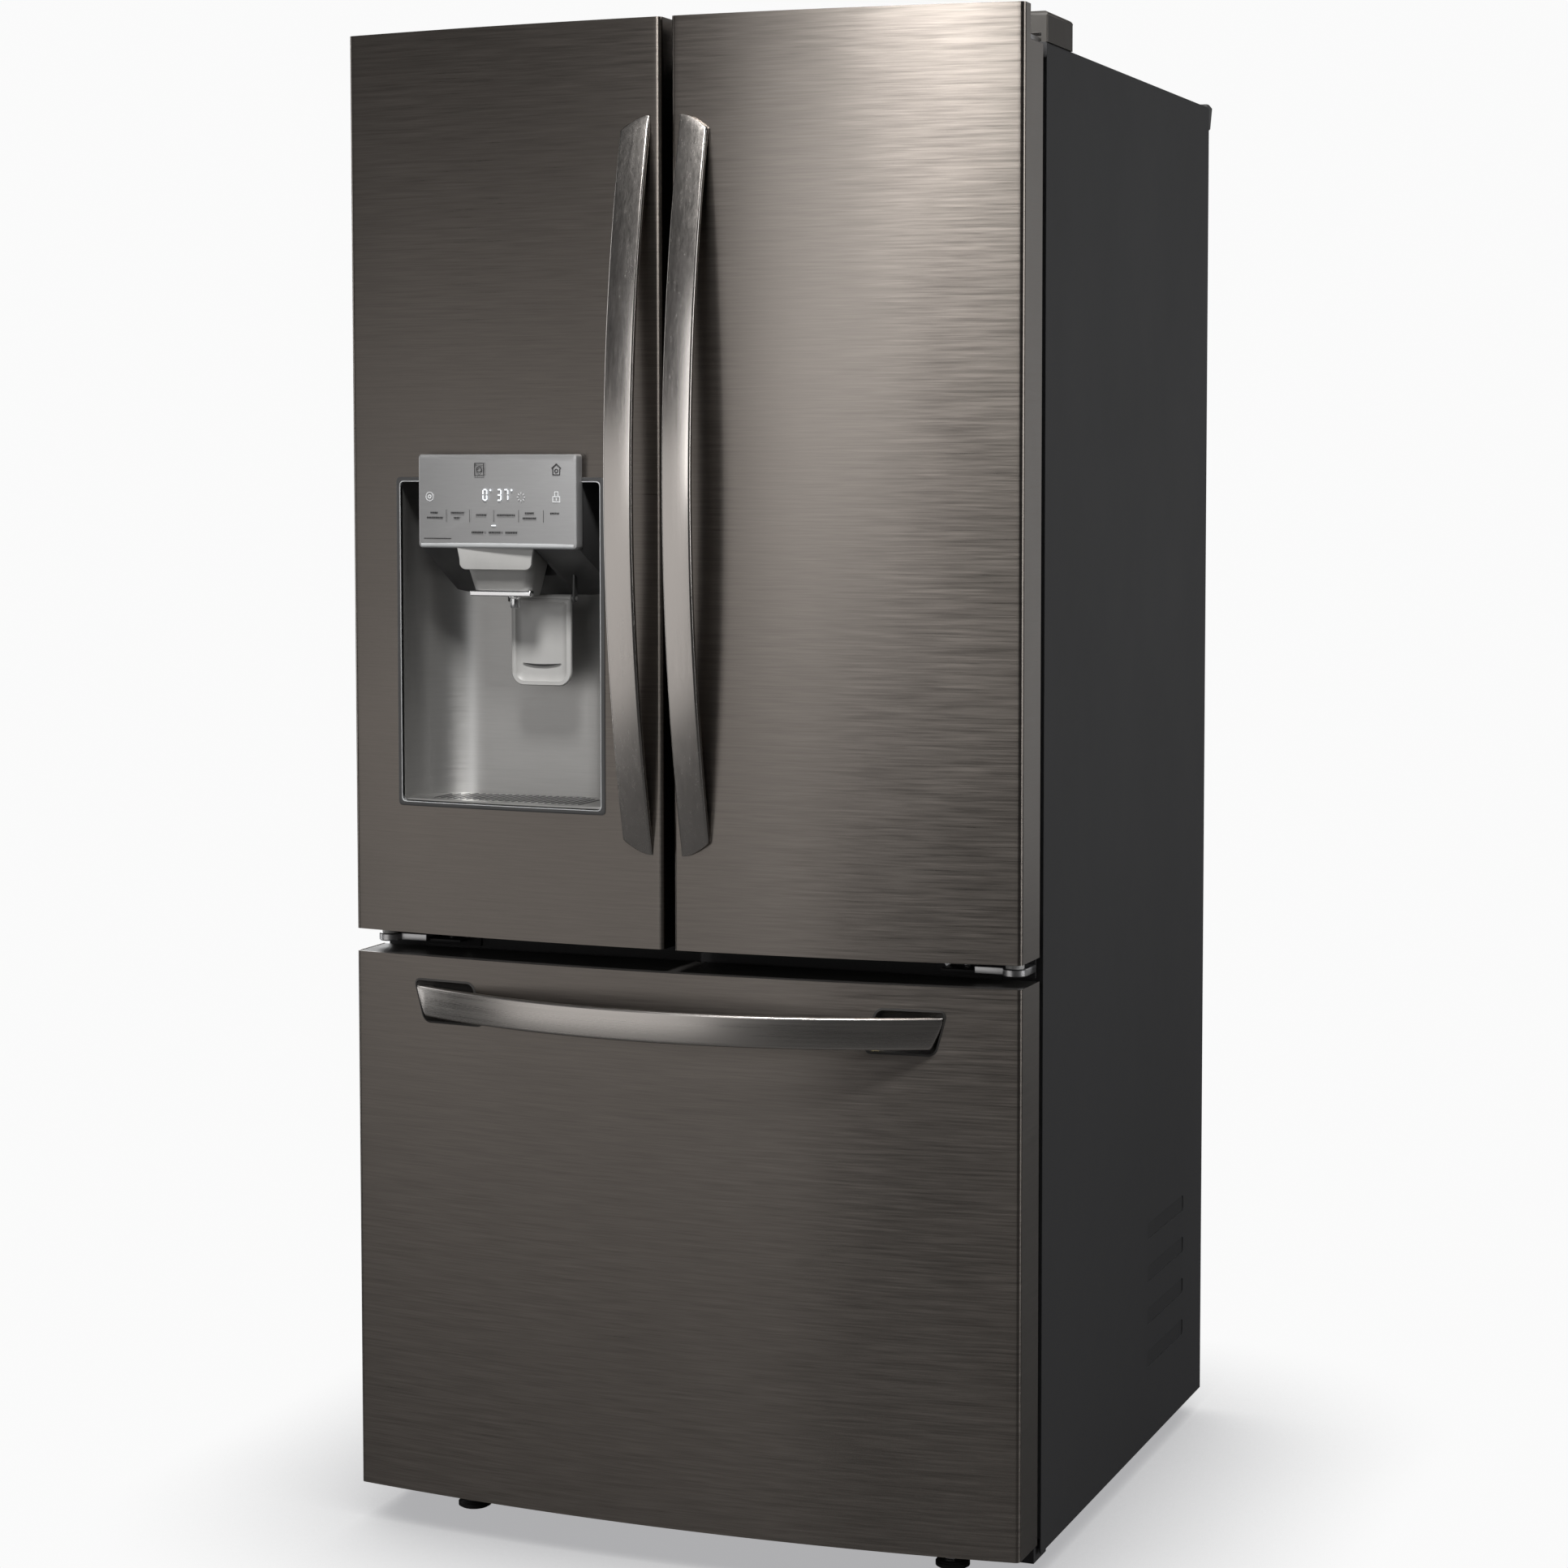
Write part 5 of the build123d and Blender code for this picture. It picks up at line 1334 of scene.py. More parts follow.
@dataclass
class PanelMarks:
    """The display's digits, pictograms, dividers and bars, a hair proud of the panel's face."""

    bow: Bow
    proud: float
    corner: Point2
    raise_by: float = 0.00018
    pen: Finish = Finish.INK_AND_SHADOW
    drawn: dict[Finish, list[Mesh]] = field(default_factory=dict)

    def stroke(self, outline: list[Point2]) -> None:
        """Adds a flat shape.

        Args:
            outline: points in mm to the right of and below the panel's upper left corner.
        """
        verts, count = [], len(outline)
        for out in (self.raise_by, -0.0002):
            for a, b in outline:
                x = self.corner[0] + a * MM
                verts.append((x, self.bow.y(x, self.proud + out), self.corner[1] - b * MM))
        faces = [tuple(range(count)), tuple(range(2 * count - 1, count - 1, -1))]
        faces += [(i, (i + 1) % count, count + (i + 1) % count, count + i) for i in range(count)]
        self.drawn.setdefault(self.pen, []).append(mesh_from("mark", verts, faces))

    def bar(self, x: float, y: float, wide: float, tall: float) -> None:
        """Adds an upright rectangle from its upper left corner."""
        self.stroke([(x, y), (x + wide, y), (x + wide, y + tall), (x, y + tall)])

    def hoop(self, x: float, y: float, radius: float, line: float, steps: int = 20) -> None:
        """Adds a ring, as short strokes round its centre."""
        for i in range(steps):
            a, b = 2 * math.pi * i / steps, 2 * math.pi * (i + 1) / steps
            pair = ((radius, a), (radius, b), (radius - line, b), (radius - line, a))
            self.stroke([(x + r * math.cos(t), y + r * math.sin(t)) for r, t in pair])

    def digit(
        self, x: float, y: float, segments: str, wide: float = 6.2, tall: float = 13.5, line: float = 1.3
    ) -> None:
        """Adds a seven-segment digit.

        Args:
            x: its left edge.
            y: its top edge.
            segments: the lit segments, a to g.
            wide: its width.
            tall: its height.
            line: thickness of a segment.
        """
        half = tall / 2
        places = {
            "a": (line, 0, wide - 2 * line, line),
            "b": (wide - line, line, line, half - 1.5 * line),
            "c": (wide - line, half + line / 2, line, half - 1.5 * line),
            "d": (line, tall - line, wide - 2 * line, line),
            "e": (0, half + line / 2, line, half - 1.5 * line),
            "f": (0, line, line, half - 1.5 * line),
            "g": (line, half - line / 2, wide - 2 * line, line),
        }
        for key in segments:
            dx, dy, w, h = places[key]
            self.bar(x + dx, y + dy, w, h)

    def build(self) -> None:
        """Makes the marks."""
        self.pen = Finish.MARKS
        self.digit(88, 40, "abcdef")
        self.digit(107, 40, "abcdg")
        self.digit(116, 40, "abc")
        for x in (98.5, 126.5):
            self.hoop(x, 41.2, 1.2, 0.5, 12)
        self.bar(99.5, 81.5, 6, 1.1)
        self.pen = Finish.DIM_MARKS
        self.hoop(16, 49, 5.4, 0.7, 24)
        self.hoop(16, 49, 2.4, 1.1, 16)
        for turn in range(8):
            a = math.radians(45 * turn)
            dx, dy = math.cos(a), math.sin(a)
            ends = ((5.4, 0.35), (5.4, -0.35), (3.4, -0.35), (3.4, 0.35))
            self.stroke([(139 + dx * r - dy * w, 49 + dy * r + dx * w) for r, w in ends])
        body = ((180, 48, 10, 1), (180, 54, 10, 1), (180, 49, 1, 5), (189, 49, 1, 5), (184.4, 50, 1.2, 3))
        shackle = ((182.4, 43.4, 0.9, 4.6), (186.7, 43.4, 0.9, 4.6), (182.4, 42.6, 5.2, 0.9))
        for x, y, wide, tall in body + shackle:
            self.bar(x, y, wide, tall)
        self.pen = Finish.INK_AND_SHADOW
        for x in (38.5, 70.0, 102.3, 135.3, 167.8):
            self.bar(x, 64, 0.3, 14)
        for x, wide in ((17, 10), (45, 18), (79, 14), (107, 24), (144, 12), (177, 12)):
            for dx in range(0, wide - 1, 2):
                self.bar(x + dx, 69 if wide in (14, 24) else 66.6, 1.3, 2.0)
        for x, wide in ((12, 22), (49, 9), (141, 18)):
            for dx in range(0, wide - 1, 2):
                self.bar(x + dx, 72.4, 1.3, 2.0)
        for x in (73, 96, 118):
            for dx in range(0, 15, 2):
                self.bar(x + dx, 89, 1.3, 2.2)
        for x in (91, 113.5):
            self.bar(x, 88.8, 0.4, 2.8)
        for i in range(22):
            self.bar(8 + i * 1.7, 97, 1.1, 1.1)
        for x, y, wide, tall in ((77, 10, 13, 1), (77, 24, 13, 1), (77, 11, 1, 13), (89, 11, 1, 13)):
            self.bar(x, y, wide, tall)
        self.hoop(83.5, 17.5, 3.8, 1.0, 20)
        self.stroke([(178.5, 16.0), (185, 10.5), (191.5, 16.0), (190.3, 16.6), (185, 12.2), (179.7, 16.6)])
        for x, y, wide, tall in ((180, 16.5, 1, 7), (189, 16.5, 1, 7), (180, 23, 10, 1)):
            self.bar(x, y, wide, tall)
        self.hoop(185, 19, 2.4, 0.9, 16)
        for number, (finish, meshes) in enumerate(self.drawn.items()):
            piece = new_piece(f"display_marks_{number + 1}", merge("marks", meshes), finish, 30)
            settle(piece, Body.LEFT_DOOR, Slot.PANEL, "control_panel")


# ---------------------------------------------------------------- hinges and gap hardware
@dataclass
class CentreHinge:
    """What shows between a door and the drawer: backing plate, arm, cam, screws and the door's stop."""

    side: int
    arm_thick: float = 0.009

    def build(self) -> None:
        """Makes the hinge."""
        word = "right" if self.side > 0 else "left"
        low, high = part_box("centre_hinges")
        outer = high.x
        floor = low.z + 0.008
        face = high.y

        def x_span(near: float, far: float) -> Span:
            """An x span from distances inside the hinge's outer end, on its own side."""
            return mirrored(self.side, outer - near, outer - far)

        plate_x = x_span(0.0, 0.118)
        arm_z = (floor - 0.001, floor - 0.001 + self.arm_thick)
        pieces = []
        plate = slab("plate", (plate_x[0], face - 0.003, low.z), (plate_x[1], face, low.z + 0.024), 0.0008)
        pieces.append(("plate", plate, Finish.PAINT))
        pin_x = self.side * (outer - 0.014)
        pin_y = low.y + 0.014
        arm_x = x_span(0.0, 0.062)
        arm = slab("arm", (arm_x[0], pin_y, arm_z[0]), (arm_x[1], face - 0.002, arm_z[1]), 0.0012, 3)
        centre = (pin_x, pin_y, 0)
        flat_low, flat_high = shrink(arm_z, 0.0012)
        eye_profile = [(0.0128, arm_z[0]), (0.014, flat_low), (0.014, flat_high), (0.0128, arm_z[1])]
        eye = turned("eye", eye_profile, centre)
        cam_profile = ((0.0105, -0.0002), (0.0105, 0.0035), (0.009, 0.0075), (0.005, 0.0078))
        cam = turned("cam", [(radius, arm_z[1] + rise) for radius, rise in cam_profile], centre)
        pin_profile = [(0.005, arm_z[0]), (0.005, high.z - 0.0008), (0.0042, high.z)]
        pieces.append(("arm", merge("arm", [arm, eye]), Finish.HINGE))
        pieces.append(("cam", cam, Finish.GREY_PLASTIC))
        pieces.append(("pin", turned("pin", pin_profile, centre, steps=28), Finish.CHROME))
        web_x = x_span(0.062, 0.104)
        web_low = (web_x[0], pin_y + 0.006, arm_z[0])
        web = slab("web", web_low, (web_x[1], face - 0.002, arm_z[0] + 0.003), 0.0006)
        pieces.append(("web", web, Finish.PAINT))
        for number, reach in enumerate((0.080, 0.104)):
            x = self.side * (outer - reach)
            z = low.z + 0.0125
            dome = [(0.0045, -0.0030), (0.0045, -0.0044), (0.0036, -0.0058), (0.0005, -0.0060)]
            head = turned("screw", dome, (x, face, z), "y", 24)
            pieces.append((f"screw_{number + 1}", head, Finish.CHROME))
        for part, mesh, finish in pieces:
            piece = new_piece(f"centre_hinge_{word}_{part}", mesh, finish, 40)
            settle(piece, Body.CABINET, Slot.HINGE, "centre_hinges")


@dataclass
class HingeCover:
    """A moulded cover over a top hinge, with its parting ledge and screw."""

    side: int
    edge: float = 0.006

    def build(self) -> None:
        """Makes the cover."""
        word = "right" if self.side > 0 else "left"
        low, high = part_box("hinge_covers")
        x = mirrored(self.side, high.x - 0.0865, high.x - 0.0004)
        shell = slab("cover", (x[0], low.y, low.z), (x[1], high.y, high.z), 0.0)
        bm = bmesh.new()
        bm.from_mesh(shell)
        tops = [e for e in bm.edges if min(v.co.z for v in e.verts) > high.z - 1e-5]
        bmesh.ops.bevel(bm, geom=tops, offset=self.edge, segments=5, profile=0.5, affect="EDGES")
        uprights = [e for e in bm.edges if (e.verts[0].co.xy - e.verts[1].co.xy).length < 1e-5]
        bmesh.ops.bevel(bm, geom=uprights, offset=0.0025, segments=3, profile=0.5, affect="EDGES")
        bm.to_mesh(shell)
        bm.free()
        way_x = mirrored(self.side, high.x - 0.036, high.x - 0.008)
        way = slab("way", (way_x[0], low.y - 0.004, low.z - 0.001), (way_x[1], low.y + 0.004, low.z + 0.010))
        shell = combine(shell, way)
        piece = new_piece(f"hinge_cover_{word}", shell, Finish.BROWN_CAP, 50)
        flatten(piece)
        settle(piece, Body.CABINET, Slot.BLACK_PLASTIC, "hinge_covers")
        dome = [(0.0052, -0.0006), (0.0052, 0.0004), (0.0040, 0.0009), (0.0012, 0.0009), (0.0010, 0.0002)]
        centre = (self.side * (high.x - 0.058), (low.y + high.y) / 2, high.z - 0.0010)
        screw = turned("screw", dome, centre, "z", 24)
        settle(new_piece(f"hinge_cover_screw_{word}", screw, Finish.CHROME, 40), Body.CABINET, Slot.HINGE)


# ---------------------------------------------------------------- cabinet
@dataclass
class Cabinet:
    """The painted shell with its pressed ribs, and small hardware on the back."""

    sheet: float = 0.002
    rib_tall: float = 0.020
    rib_pitch: float = 0.055
    rib_first: float = 0.125
    rib_start: float = 0.452
    rib_long: float = 0.175
    rib_deep: float = 0.0015
    ribs: int = 4
    kick_top: float = 0.045

    def shell(self) -> None:
        """Top and sides, folded from one sheet, with soft-edged ribs low at the rear."""
        low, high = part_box("outer_shell")
        outline = round_rect((low.x, high.x), (low.z - 0.1, high.z), 0.004, 5)
        outer = prism("shell", outline, (low.y, high.y), "y")
        inside_x = shrink((low.x, high.x), self.sheet)
        room = round_rect(inside_x, (low.z - 0.2, high.z - self.sheet), 0.003, 4)
        inner = prism("room", room, (low.y + self.sheet, high.y + 0.01), "y")
        shell = combine(outer, inner)
        foot = slab("foot", (low.x - 0.1, low.y - 0.1, low.z - 0.3), (high.x + 0.1, high.y + 0.1, low.z))
        shell = combine(shell, foot)
        front = (low.y - 0.01, low.y + self.sheet + 0.001)
        fridge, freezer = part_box("fridge_liner"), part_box("freezer_liner")
        for room_low, room_high in (fridge, (freezer[0], Vector((freezer[1].x, 0, fridge[0].z + 0.001)))):
            door = slab("door", (room_low.x, front[0], room_low.z), (room_high.x, front[1], room_high.z))
            shell = combine(shell, door)
        kick = slab("kick", (inside_x[0], front[0], low.z - 0.01), (inside_x[1], front[1], self.kick_top))
        shell = combine(shell, kick)
        for side in (-1, 1):
            face = high.x if side > 0 else low.x
            for number in range(self.ribs):
                z = self.rib_first + number * self.rib_pitch
                y = low.y + self.rib_start
                outline = round_rect((y, y + self.rib_long), (z, z + self.rib_tall), 0.004, 4)
                rib = prism("rib", outline, (face - self.rib_deep, face + self.rib_deep), "x")
                shell = combine(shell, rib)
        soften(shell, 0.0006, 2, 50)
        piece = new_piece("cabinet_shell", shell, Finish.PAINT, 60)
        flatten(piece)
        settle(piece, Body.CABINET, Slot.PAINT, "outer_shell")

    def screws(self) -> None:
        """Hexagon-headed screws round the rear covers."""
        low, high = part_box("machine_cover")
        back_low, back_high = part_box("back_panel")
        y = back_high.y
        columns = (low.x + 0.012, low.x + 0.21, 0.0, high.x - 0.21, high.x - 0.012)
        places = [(x, z) for x in columns for z in (low.z + 0.012, high.z - 0.010)]
        rows = (back_low.z + 0.14, (back_low.z + back_high.z) / 2, back_high.z - 0.12)
        places += [(x, z) for x in (back_low.x + 0.010, back_high.x - 0.010) for z in rows]
        skirt = [(0.0062, -0.0004), (0.0062, 0.0006), (0.0040, 0.0011)]
        hexagon = [(0.0040, 0.0005), (0.0042, 0.0010), (0.0042, 0.0038), (0.0036, 0.0044)]
        heads = []
        for x, z in places:
            heads.append(turned("washer", skirt, (x, y, z), "y", 24))
            heads.append(turned("head", hexagon, (x, y, z), "y", 6))
        screws = new_piece("rear_screws", merge("screws", heads), Finish.CHROME, 30)
        settle(screws, Body.CABINET, Slot.GALVANISED)

    def feet(self) -> None:
        """Front levelling feet: ribbed pads on threaded stems, each with its hexagon collar."""
        low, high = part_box("front_feet")
        for side, word in ((-1, "left"), (1, "right")):
            x, y = side * (high.x - 0.020), (low.y + high.y) / 2
            profile = [(0.017, 0.0), (0.020, 0.0018), (0.020, 0.0060), (0.0185, 0.0074)]
            profile += [(0.0185, 0.0082), (0.0165, 0.0100), (0.008, 0.0102)]
            pad = turned("pad", profile, (x, y, 0.0), steps=64)
            hexagon = [(0.010, 0.0101), (0.011, 0.0108), (0.011, 0.0170), (0.0102, 0.0177)]
            collar = turned("collar", hexagon, (x, y, 0.0), steps=6)
            turns = []
            for i in range(40):
                z = 0.0175 + i * (high.z - 0.0175) / 40
                turns += [(0.0042, z), (0.005, z + 0.0003)]
            stem = turned("stem", turns, (x, y, 0.0), steps=24)
            base = new_piece(f"foot_pad_{word}", pad, Finish.BLACK_PLASTIC, 40)
            settle(base, Body.CABINET, Slot.BLACK_PLASTIC, "front_feet")
            post = new_piece(f"foot_stem_{word}", merge("stem", [collar, stem]), Finish.HINGE, 25)
            settle(post, Body.CABINET, Slot.HINGE, "front_feet")

    def build(self) -> None:
        """Makes the shell, the screws and the feet."""
        self.shell()
        self.screws()
        self.feet()


# ---------------------------------------------------------------- inside
def tub_rings(x: Span, y: Span, z: Span, levels: tuple, corner: float, share: float = 1.0) -> list[list]:
    """Rings of a tub with round corners.

    Args:
        x: its span from left to right.
        y: its span from front to back.
        z: its span from bottom to top.
        levels: (distance inside the outer face, share of the height) of each ring.
        corner: outer corner radius.
        share: how much of that distance the corner radius loses.

    Returns:
        The rings.
    """
    rings = []
    for inset, level in levels:
        outline = round_rect(shrink(x, inset), shrink(y, inset), corner - inset * share, 7)
        rings.append([(a, b, z[0] + (z[1] - z[0]) * level) for a, b in outline])
    return rings


@dataclass
class DoorBin:
    """A clear door bin with a rolled rim and a grey trim band."""

    name: str
    body: Body
    low: Vector
    high: Vector
    wall: float = 0.0028
    corner: float = 0.018

    def build(self, *nodes: str) -> bpy.types.Object:
        """Makes the bin.

        Args:
            nodes: the CAD nodes that it stands for.

        Returns:
            The bin.
        """
        x, y, z = (self.low.x, self.high.x), (self.low.y, self.high.y), (self.low.z, self.high.z)
        outside = ((0.006, 0.0), (0.0012, 0.002), (0.0004, 0.35), (0.0003, 0.97))
        rim = ((0.0, 0.975), (0.0, 0.995), (0.001, 1.0), (self.wall, 1.0))
        inside = ((0.0008, 0.99), (0.001, 0.35), (0.003, 0.035), (0.010, 0.028))
        levels = outside + rim + tuple((self.wall + inset, level) for inset, level in inside)
        rings = tub_rings(x, y, z, levels, self.corner, 0.6)
        piece = new_piece(self.name, loft("bin", rings), Finish.BIN, 50)
        settle(piece, self.body, Slot.BIN, *nodes)
        band_levels = ((0.0, 0.80), (0.0, 0.90), (0.0012, 0.90), (0.0012, 0.80))
        trim = tub_rings(x, y, z, band_levels, self.corner)
        band = new_piece(f"{self.name}_trim", loft("trim", trim, closed=True), Finish.TRIM_GREY, 50)
        settle(band, self.body, Slot.BIN)
        return piece


@dataclass
class Basket:
    """The freezer's deep tub: soft corners, rolled rim and side ledges."""

    wall: float = 0.003
    corner: float = 0.022

    def build(self) -> None:
        """Makes the tub."""
        low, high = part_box("freezer_basket")
        ledge = 0.014
        x, y, z = (low.x + ledge, high.x - ledge), (low.y, high.y), (low.z, high.z)
        outside = ((0.012, 0.0), (0.0025, 0.008), (0.0012, 0.3), (0.0004, 0.97))
        rim = ((0.0, 0.975), (0.0, 0.996), (0.0008, 1.0), (self.wall, 1.0))
        inside = ((0.0008, 0.985), (0.002, 0.3), (0.006, 0.018), (0.014, 0.010))
        levels = outside + rim + tuple((self.wall + inset, level) for inset, level in inside)
        rings = tub_rings(x, y, z, levels, self.corner, 0.5)
        tub = new_piece("freezer_tub", loft("tub", rings), Finish.BIN, 50)
        settle(tub, Body.DRAWER, Slot.BIN, "freezer_basket")
        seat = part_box("drawer_rails_inner")[1].z
        for side, word in ((-1, "left"), (1, "right")):
            span = mirrored(side, high.x - ledge - 0.002, high.x)
            lip_low = (span[0], y[0] + 0.03, seat + 0.0003)
            lip = slab("lip", lip_low, (span[1], y[1] - 0.02, seat + 0.0043), 0.001)
            piece = new_piece(f"freezer_tub_ledge_{word}", lip, Finish.BIN, 40)
            settle(piece, Body.DRAWER, Slot.BIN, "freezer_basket")


@dataclass
class CompressorUnit:
    """The hermetic compressor: drawn can with its welded seam, mounting plate, grommet feet and terminal box.
    """

    radius: float = 0.072
    seam: float = 0.0045

    def build(self) -> None:
        """Makes the compressor."""
        low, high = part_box("compressor")
        mid_x = (low.x + high.x) / 2
        base = low.z
        y = high.y - 0.072 if high.y - low.y > 0.15 else (low.y + high.y) / 2
        top, bottom = high.z, base + 0.016
        bulge = self.radius + self.seam
        profile = [(0.0, bottom)] + round_corner((self.radius - 0.03, bottom + 0.03), 0.03, -90, 0, 8)
        mid = (top + bottom) / 2 + 0.01
        profile += [(self.radius, mid - 0.004), (bulge, mid - 0.003)]
        profile += [(bulge, mid + 0.001), (self.radius, mid + 0.002)]
        profile += round_corner((self.radius - 0.042, top - 0.042), 0.042, 0, 90, 10) + [(0.0, top)]
        can = turned("can", profile, (mid_x, y, 0), steps=64)
        plate = slab("plate", (low.x, y - 0.062, base + 0.010), (high.x, y + 0.062, base + 0.0155), 0.0016)
        grommet = [(0.009, 0.0), (0.009, 0.004), (0.0065, 0.005), (0.0065, 0.008)]
        grommet += [(0.009, 0.009), (0.009, 0.018), (0.006, 0.020)]
        feet = []
        for dx in (-0.08, 0.08):
            for dy in (-0.05, 0.05):
                feet.append(turned("grommet", grommet, (mid_x + dx, y + dy, base), steps=24))
        box_high = (mid_x + 0.026, y - self.radius + 0.008, 0.180)
        box = slab("box", (mid_x - 0.026, low.y, 0.120), box_high, 0.004, 3)
        for part, mesh, finish, smooth, slot in (
            ("can", can, Finish.COMPRESSOR, 35, Slot.COMPRESSOR),
            ("plate", plate, Finish.GALVANISED, 35, Slot.COMPRESSOR),
            ("grommets", merge("feet", feet), Finish.RUBBER, 40, Slot.RUBBER),
            ("terminal_box", box, Finish.BLACK_PLASTIC, 40, Slot.BLACK_PLASTIC),
        ):
            piece = new_piece(f"compressor_{part}", mesh, finish, smooth)
            settle(piece, Body.CABINET, slot, "compressor")


# ---------------------------------------------------------------- carried-over CAD pieces
@dataclass(frozen=True)
class Dressing:
    """The finish of a CAD piece whose own shape shows, and how round its edges are."""

    node: str
    finish: Finish
    edge: float = 0.0008
    smooth: float = 32.0

    def apply(self) -> None:
        """Gives the piece its material, welded facets and softened edges."""
        piece = frame["nodes"][self.node]
        piece.data.materials.clear()
        piece.data.materials.append(material(self.finish))
        if "custom_normal" in piece.data.attributes:
            piece.data.attributes.remove(piece.data.attributes["custom_normal"])
        weld = piece.modifiers.new("weld", "WELD")
        weld.merge_threshold = 0.00002
        if self.edge:
            bevel = piece.modifiers.new("edge", "BEVEL")
            bevel.limit_method, bevel.angle_limit = "ANGLE", math.radians(self.smooth + 10)
            bevel.width, bevel.segments = self.edge, 2
            bevel.use_clamp_overlap = True
        piece.data.shade_smooth()
        if "sharp_edge" in piece.data.attributes:
            piece.data.attributes.remove(piece.data.attributes["sharp_edge"])
        weighted = piece.modifiers.new("shading", "WEIGHTED_NORMAL")
        weighted.keep_sharp = False
        weighted.weight = 90
        LOG.info("%s dressed in %s", self.node, self.finish.name.lower())


CARRIED = (
    Dressing("insulation_foam", Finish.FOAM),
    Dressing("fridge_liner", Finish.WHITE_PLASTIC, 0.004),
    Dressing("freezer_liner", Finish.WHITE_PLASTIC, 0.004),
    Dressing("back_panel", Finish.GALVANISED),
    Dressing("centre_rail", Finish.PAINT),
    Dressing("rear_top_rail", Finish.BLACK_PLASTIC, 0.0015),
    Dressing("base_frame", Finish.PAINT),
    Dressing("rear_roller_left", Finish.BLACK_PLASTIC),
    Dressing("rear_roller_right", Finish.BLACK_PLASTIC),
    Dressing("top_hinges", Finish.HINGE),
    Dressing("left_door_caps", Finish.CAP_PLASTIC, 0.0006),
    Dressing("left_door_foam", Finish.FOAM, 0.0),
    Dressing("left_door_liner", Finish.WHITE_PLASTIC, 0.0012),
    Dressing("flip_mullion", Finish.TRIM_GREY),
    Dressing("ice_room", Finish.WHITE_PLASTIC, 0.0015),
    Dressing("ice_maker", Finish.TRIM_GREY),
    Dressing("ice_bin", Finish.BIN),
    Dressing("ice_auger", Finish.CHROME),
    Dressing("right_door_caps", Finish.CAP_PLASTIC, 0.0006),
    Dressing("right_door_foam", Finish.FOAM, 0.0),
    Dressing("right_door_liner", Finish.WHITE_PLASTIC, 0.0012),
    Dressing("drawer_caps", Finish.CAP_PLASTIC, 0.0006),
    Dressing("drawer_foam", Finish.FOAM, 0.0),
    Dressing("drawer_liner", Finish.WHITE_PLASTIC, 0.0012),
    Dressing("drawer_rails_inner", Finish.RAIL_PAINT),
    Dressing("drawer_rails_outer", Finish.RAIL_PAINT),
    Dressing("basket_divider", Finish.BIN),
    Dressing("shelf_glass", Finish.GLASS, 0.0006),
    Dressing("shelf_frames", Finish.TRIM_GREY, 0.0015),
    Dressing("crisper_left", Finish.BIN, 0.0012),
    Dressing("crisper_right", Finish.BIN, 0.0012),
    Dressing("freezer_duct", Finish.WHITE_PLASTIC),
    Dressing("evaporator", Finish.FINS, 0.0),
    Dressing("evaporator_fan", Finish.BLACK_PLASTIC, 0.0004),
    Dressing("condenser_coil", Finish.COMPRESSOR, 0.0),
    Dressing("condenser_fan", Finish.BLACK_PLASTIC, 0.0004),
    Dressing("machine_cover", Finish.COVER, 0.0005),
    Dressing("water_valve", Finish.VALVE),
)


# ---------------------------------------------------------------- studio
@dataclass(frozen=True)
class Softbox:
    """A rectangular light that looks at a point."""

    name: str
    place: tuple[float, float, float]
    aim: tuple[float, float, float]
    size: Point2
    power: float
    tone: tuple[float, float, float] = (1.0, 1.0, 1.0)

    def build(self) -> None:
        """Makes the light."""
        data = bpy.data.lights.new(self.name, "AREA")
        data.shape, data.size, data.size_y = "RECTANGLE", *self.size
        data.energy, data.color = self.power, self.tone
        lamp = bpy.data.objects.new(self.name, data)
        lamp.location = self.place
        lamp.rotation_euler = (Vector(self.aim) - Vector(self.place)).to_track_quat("-Z", "Y").to_euler()
        bpy.context.scene.collection.objects.link(lamp)


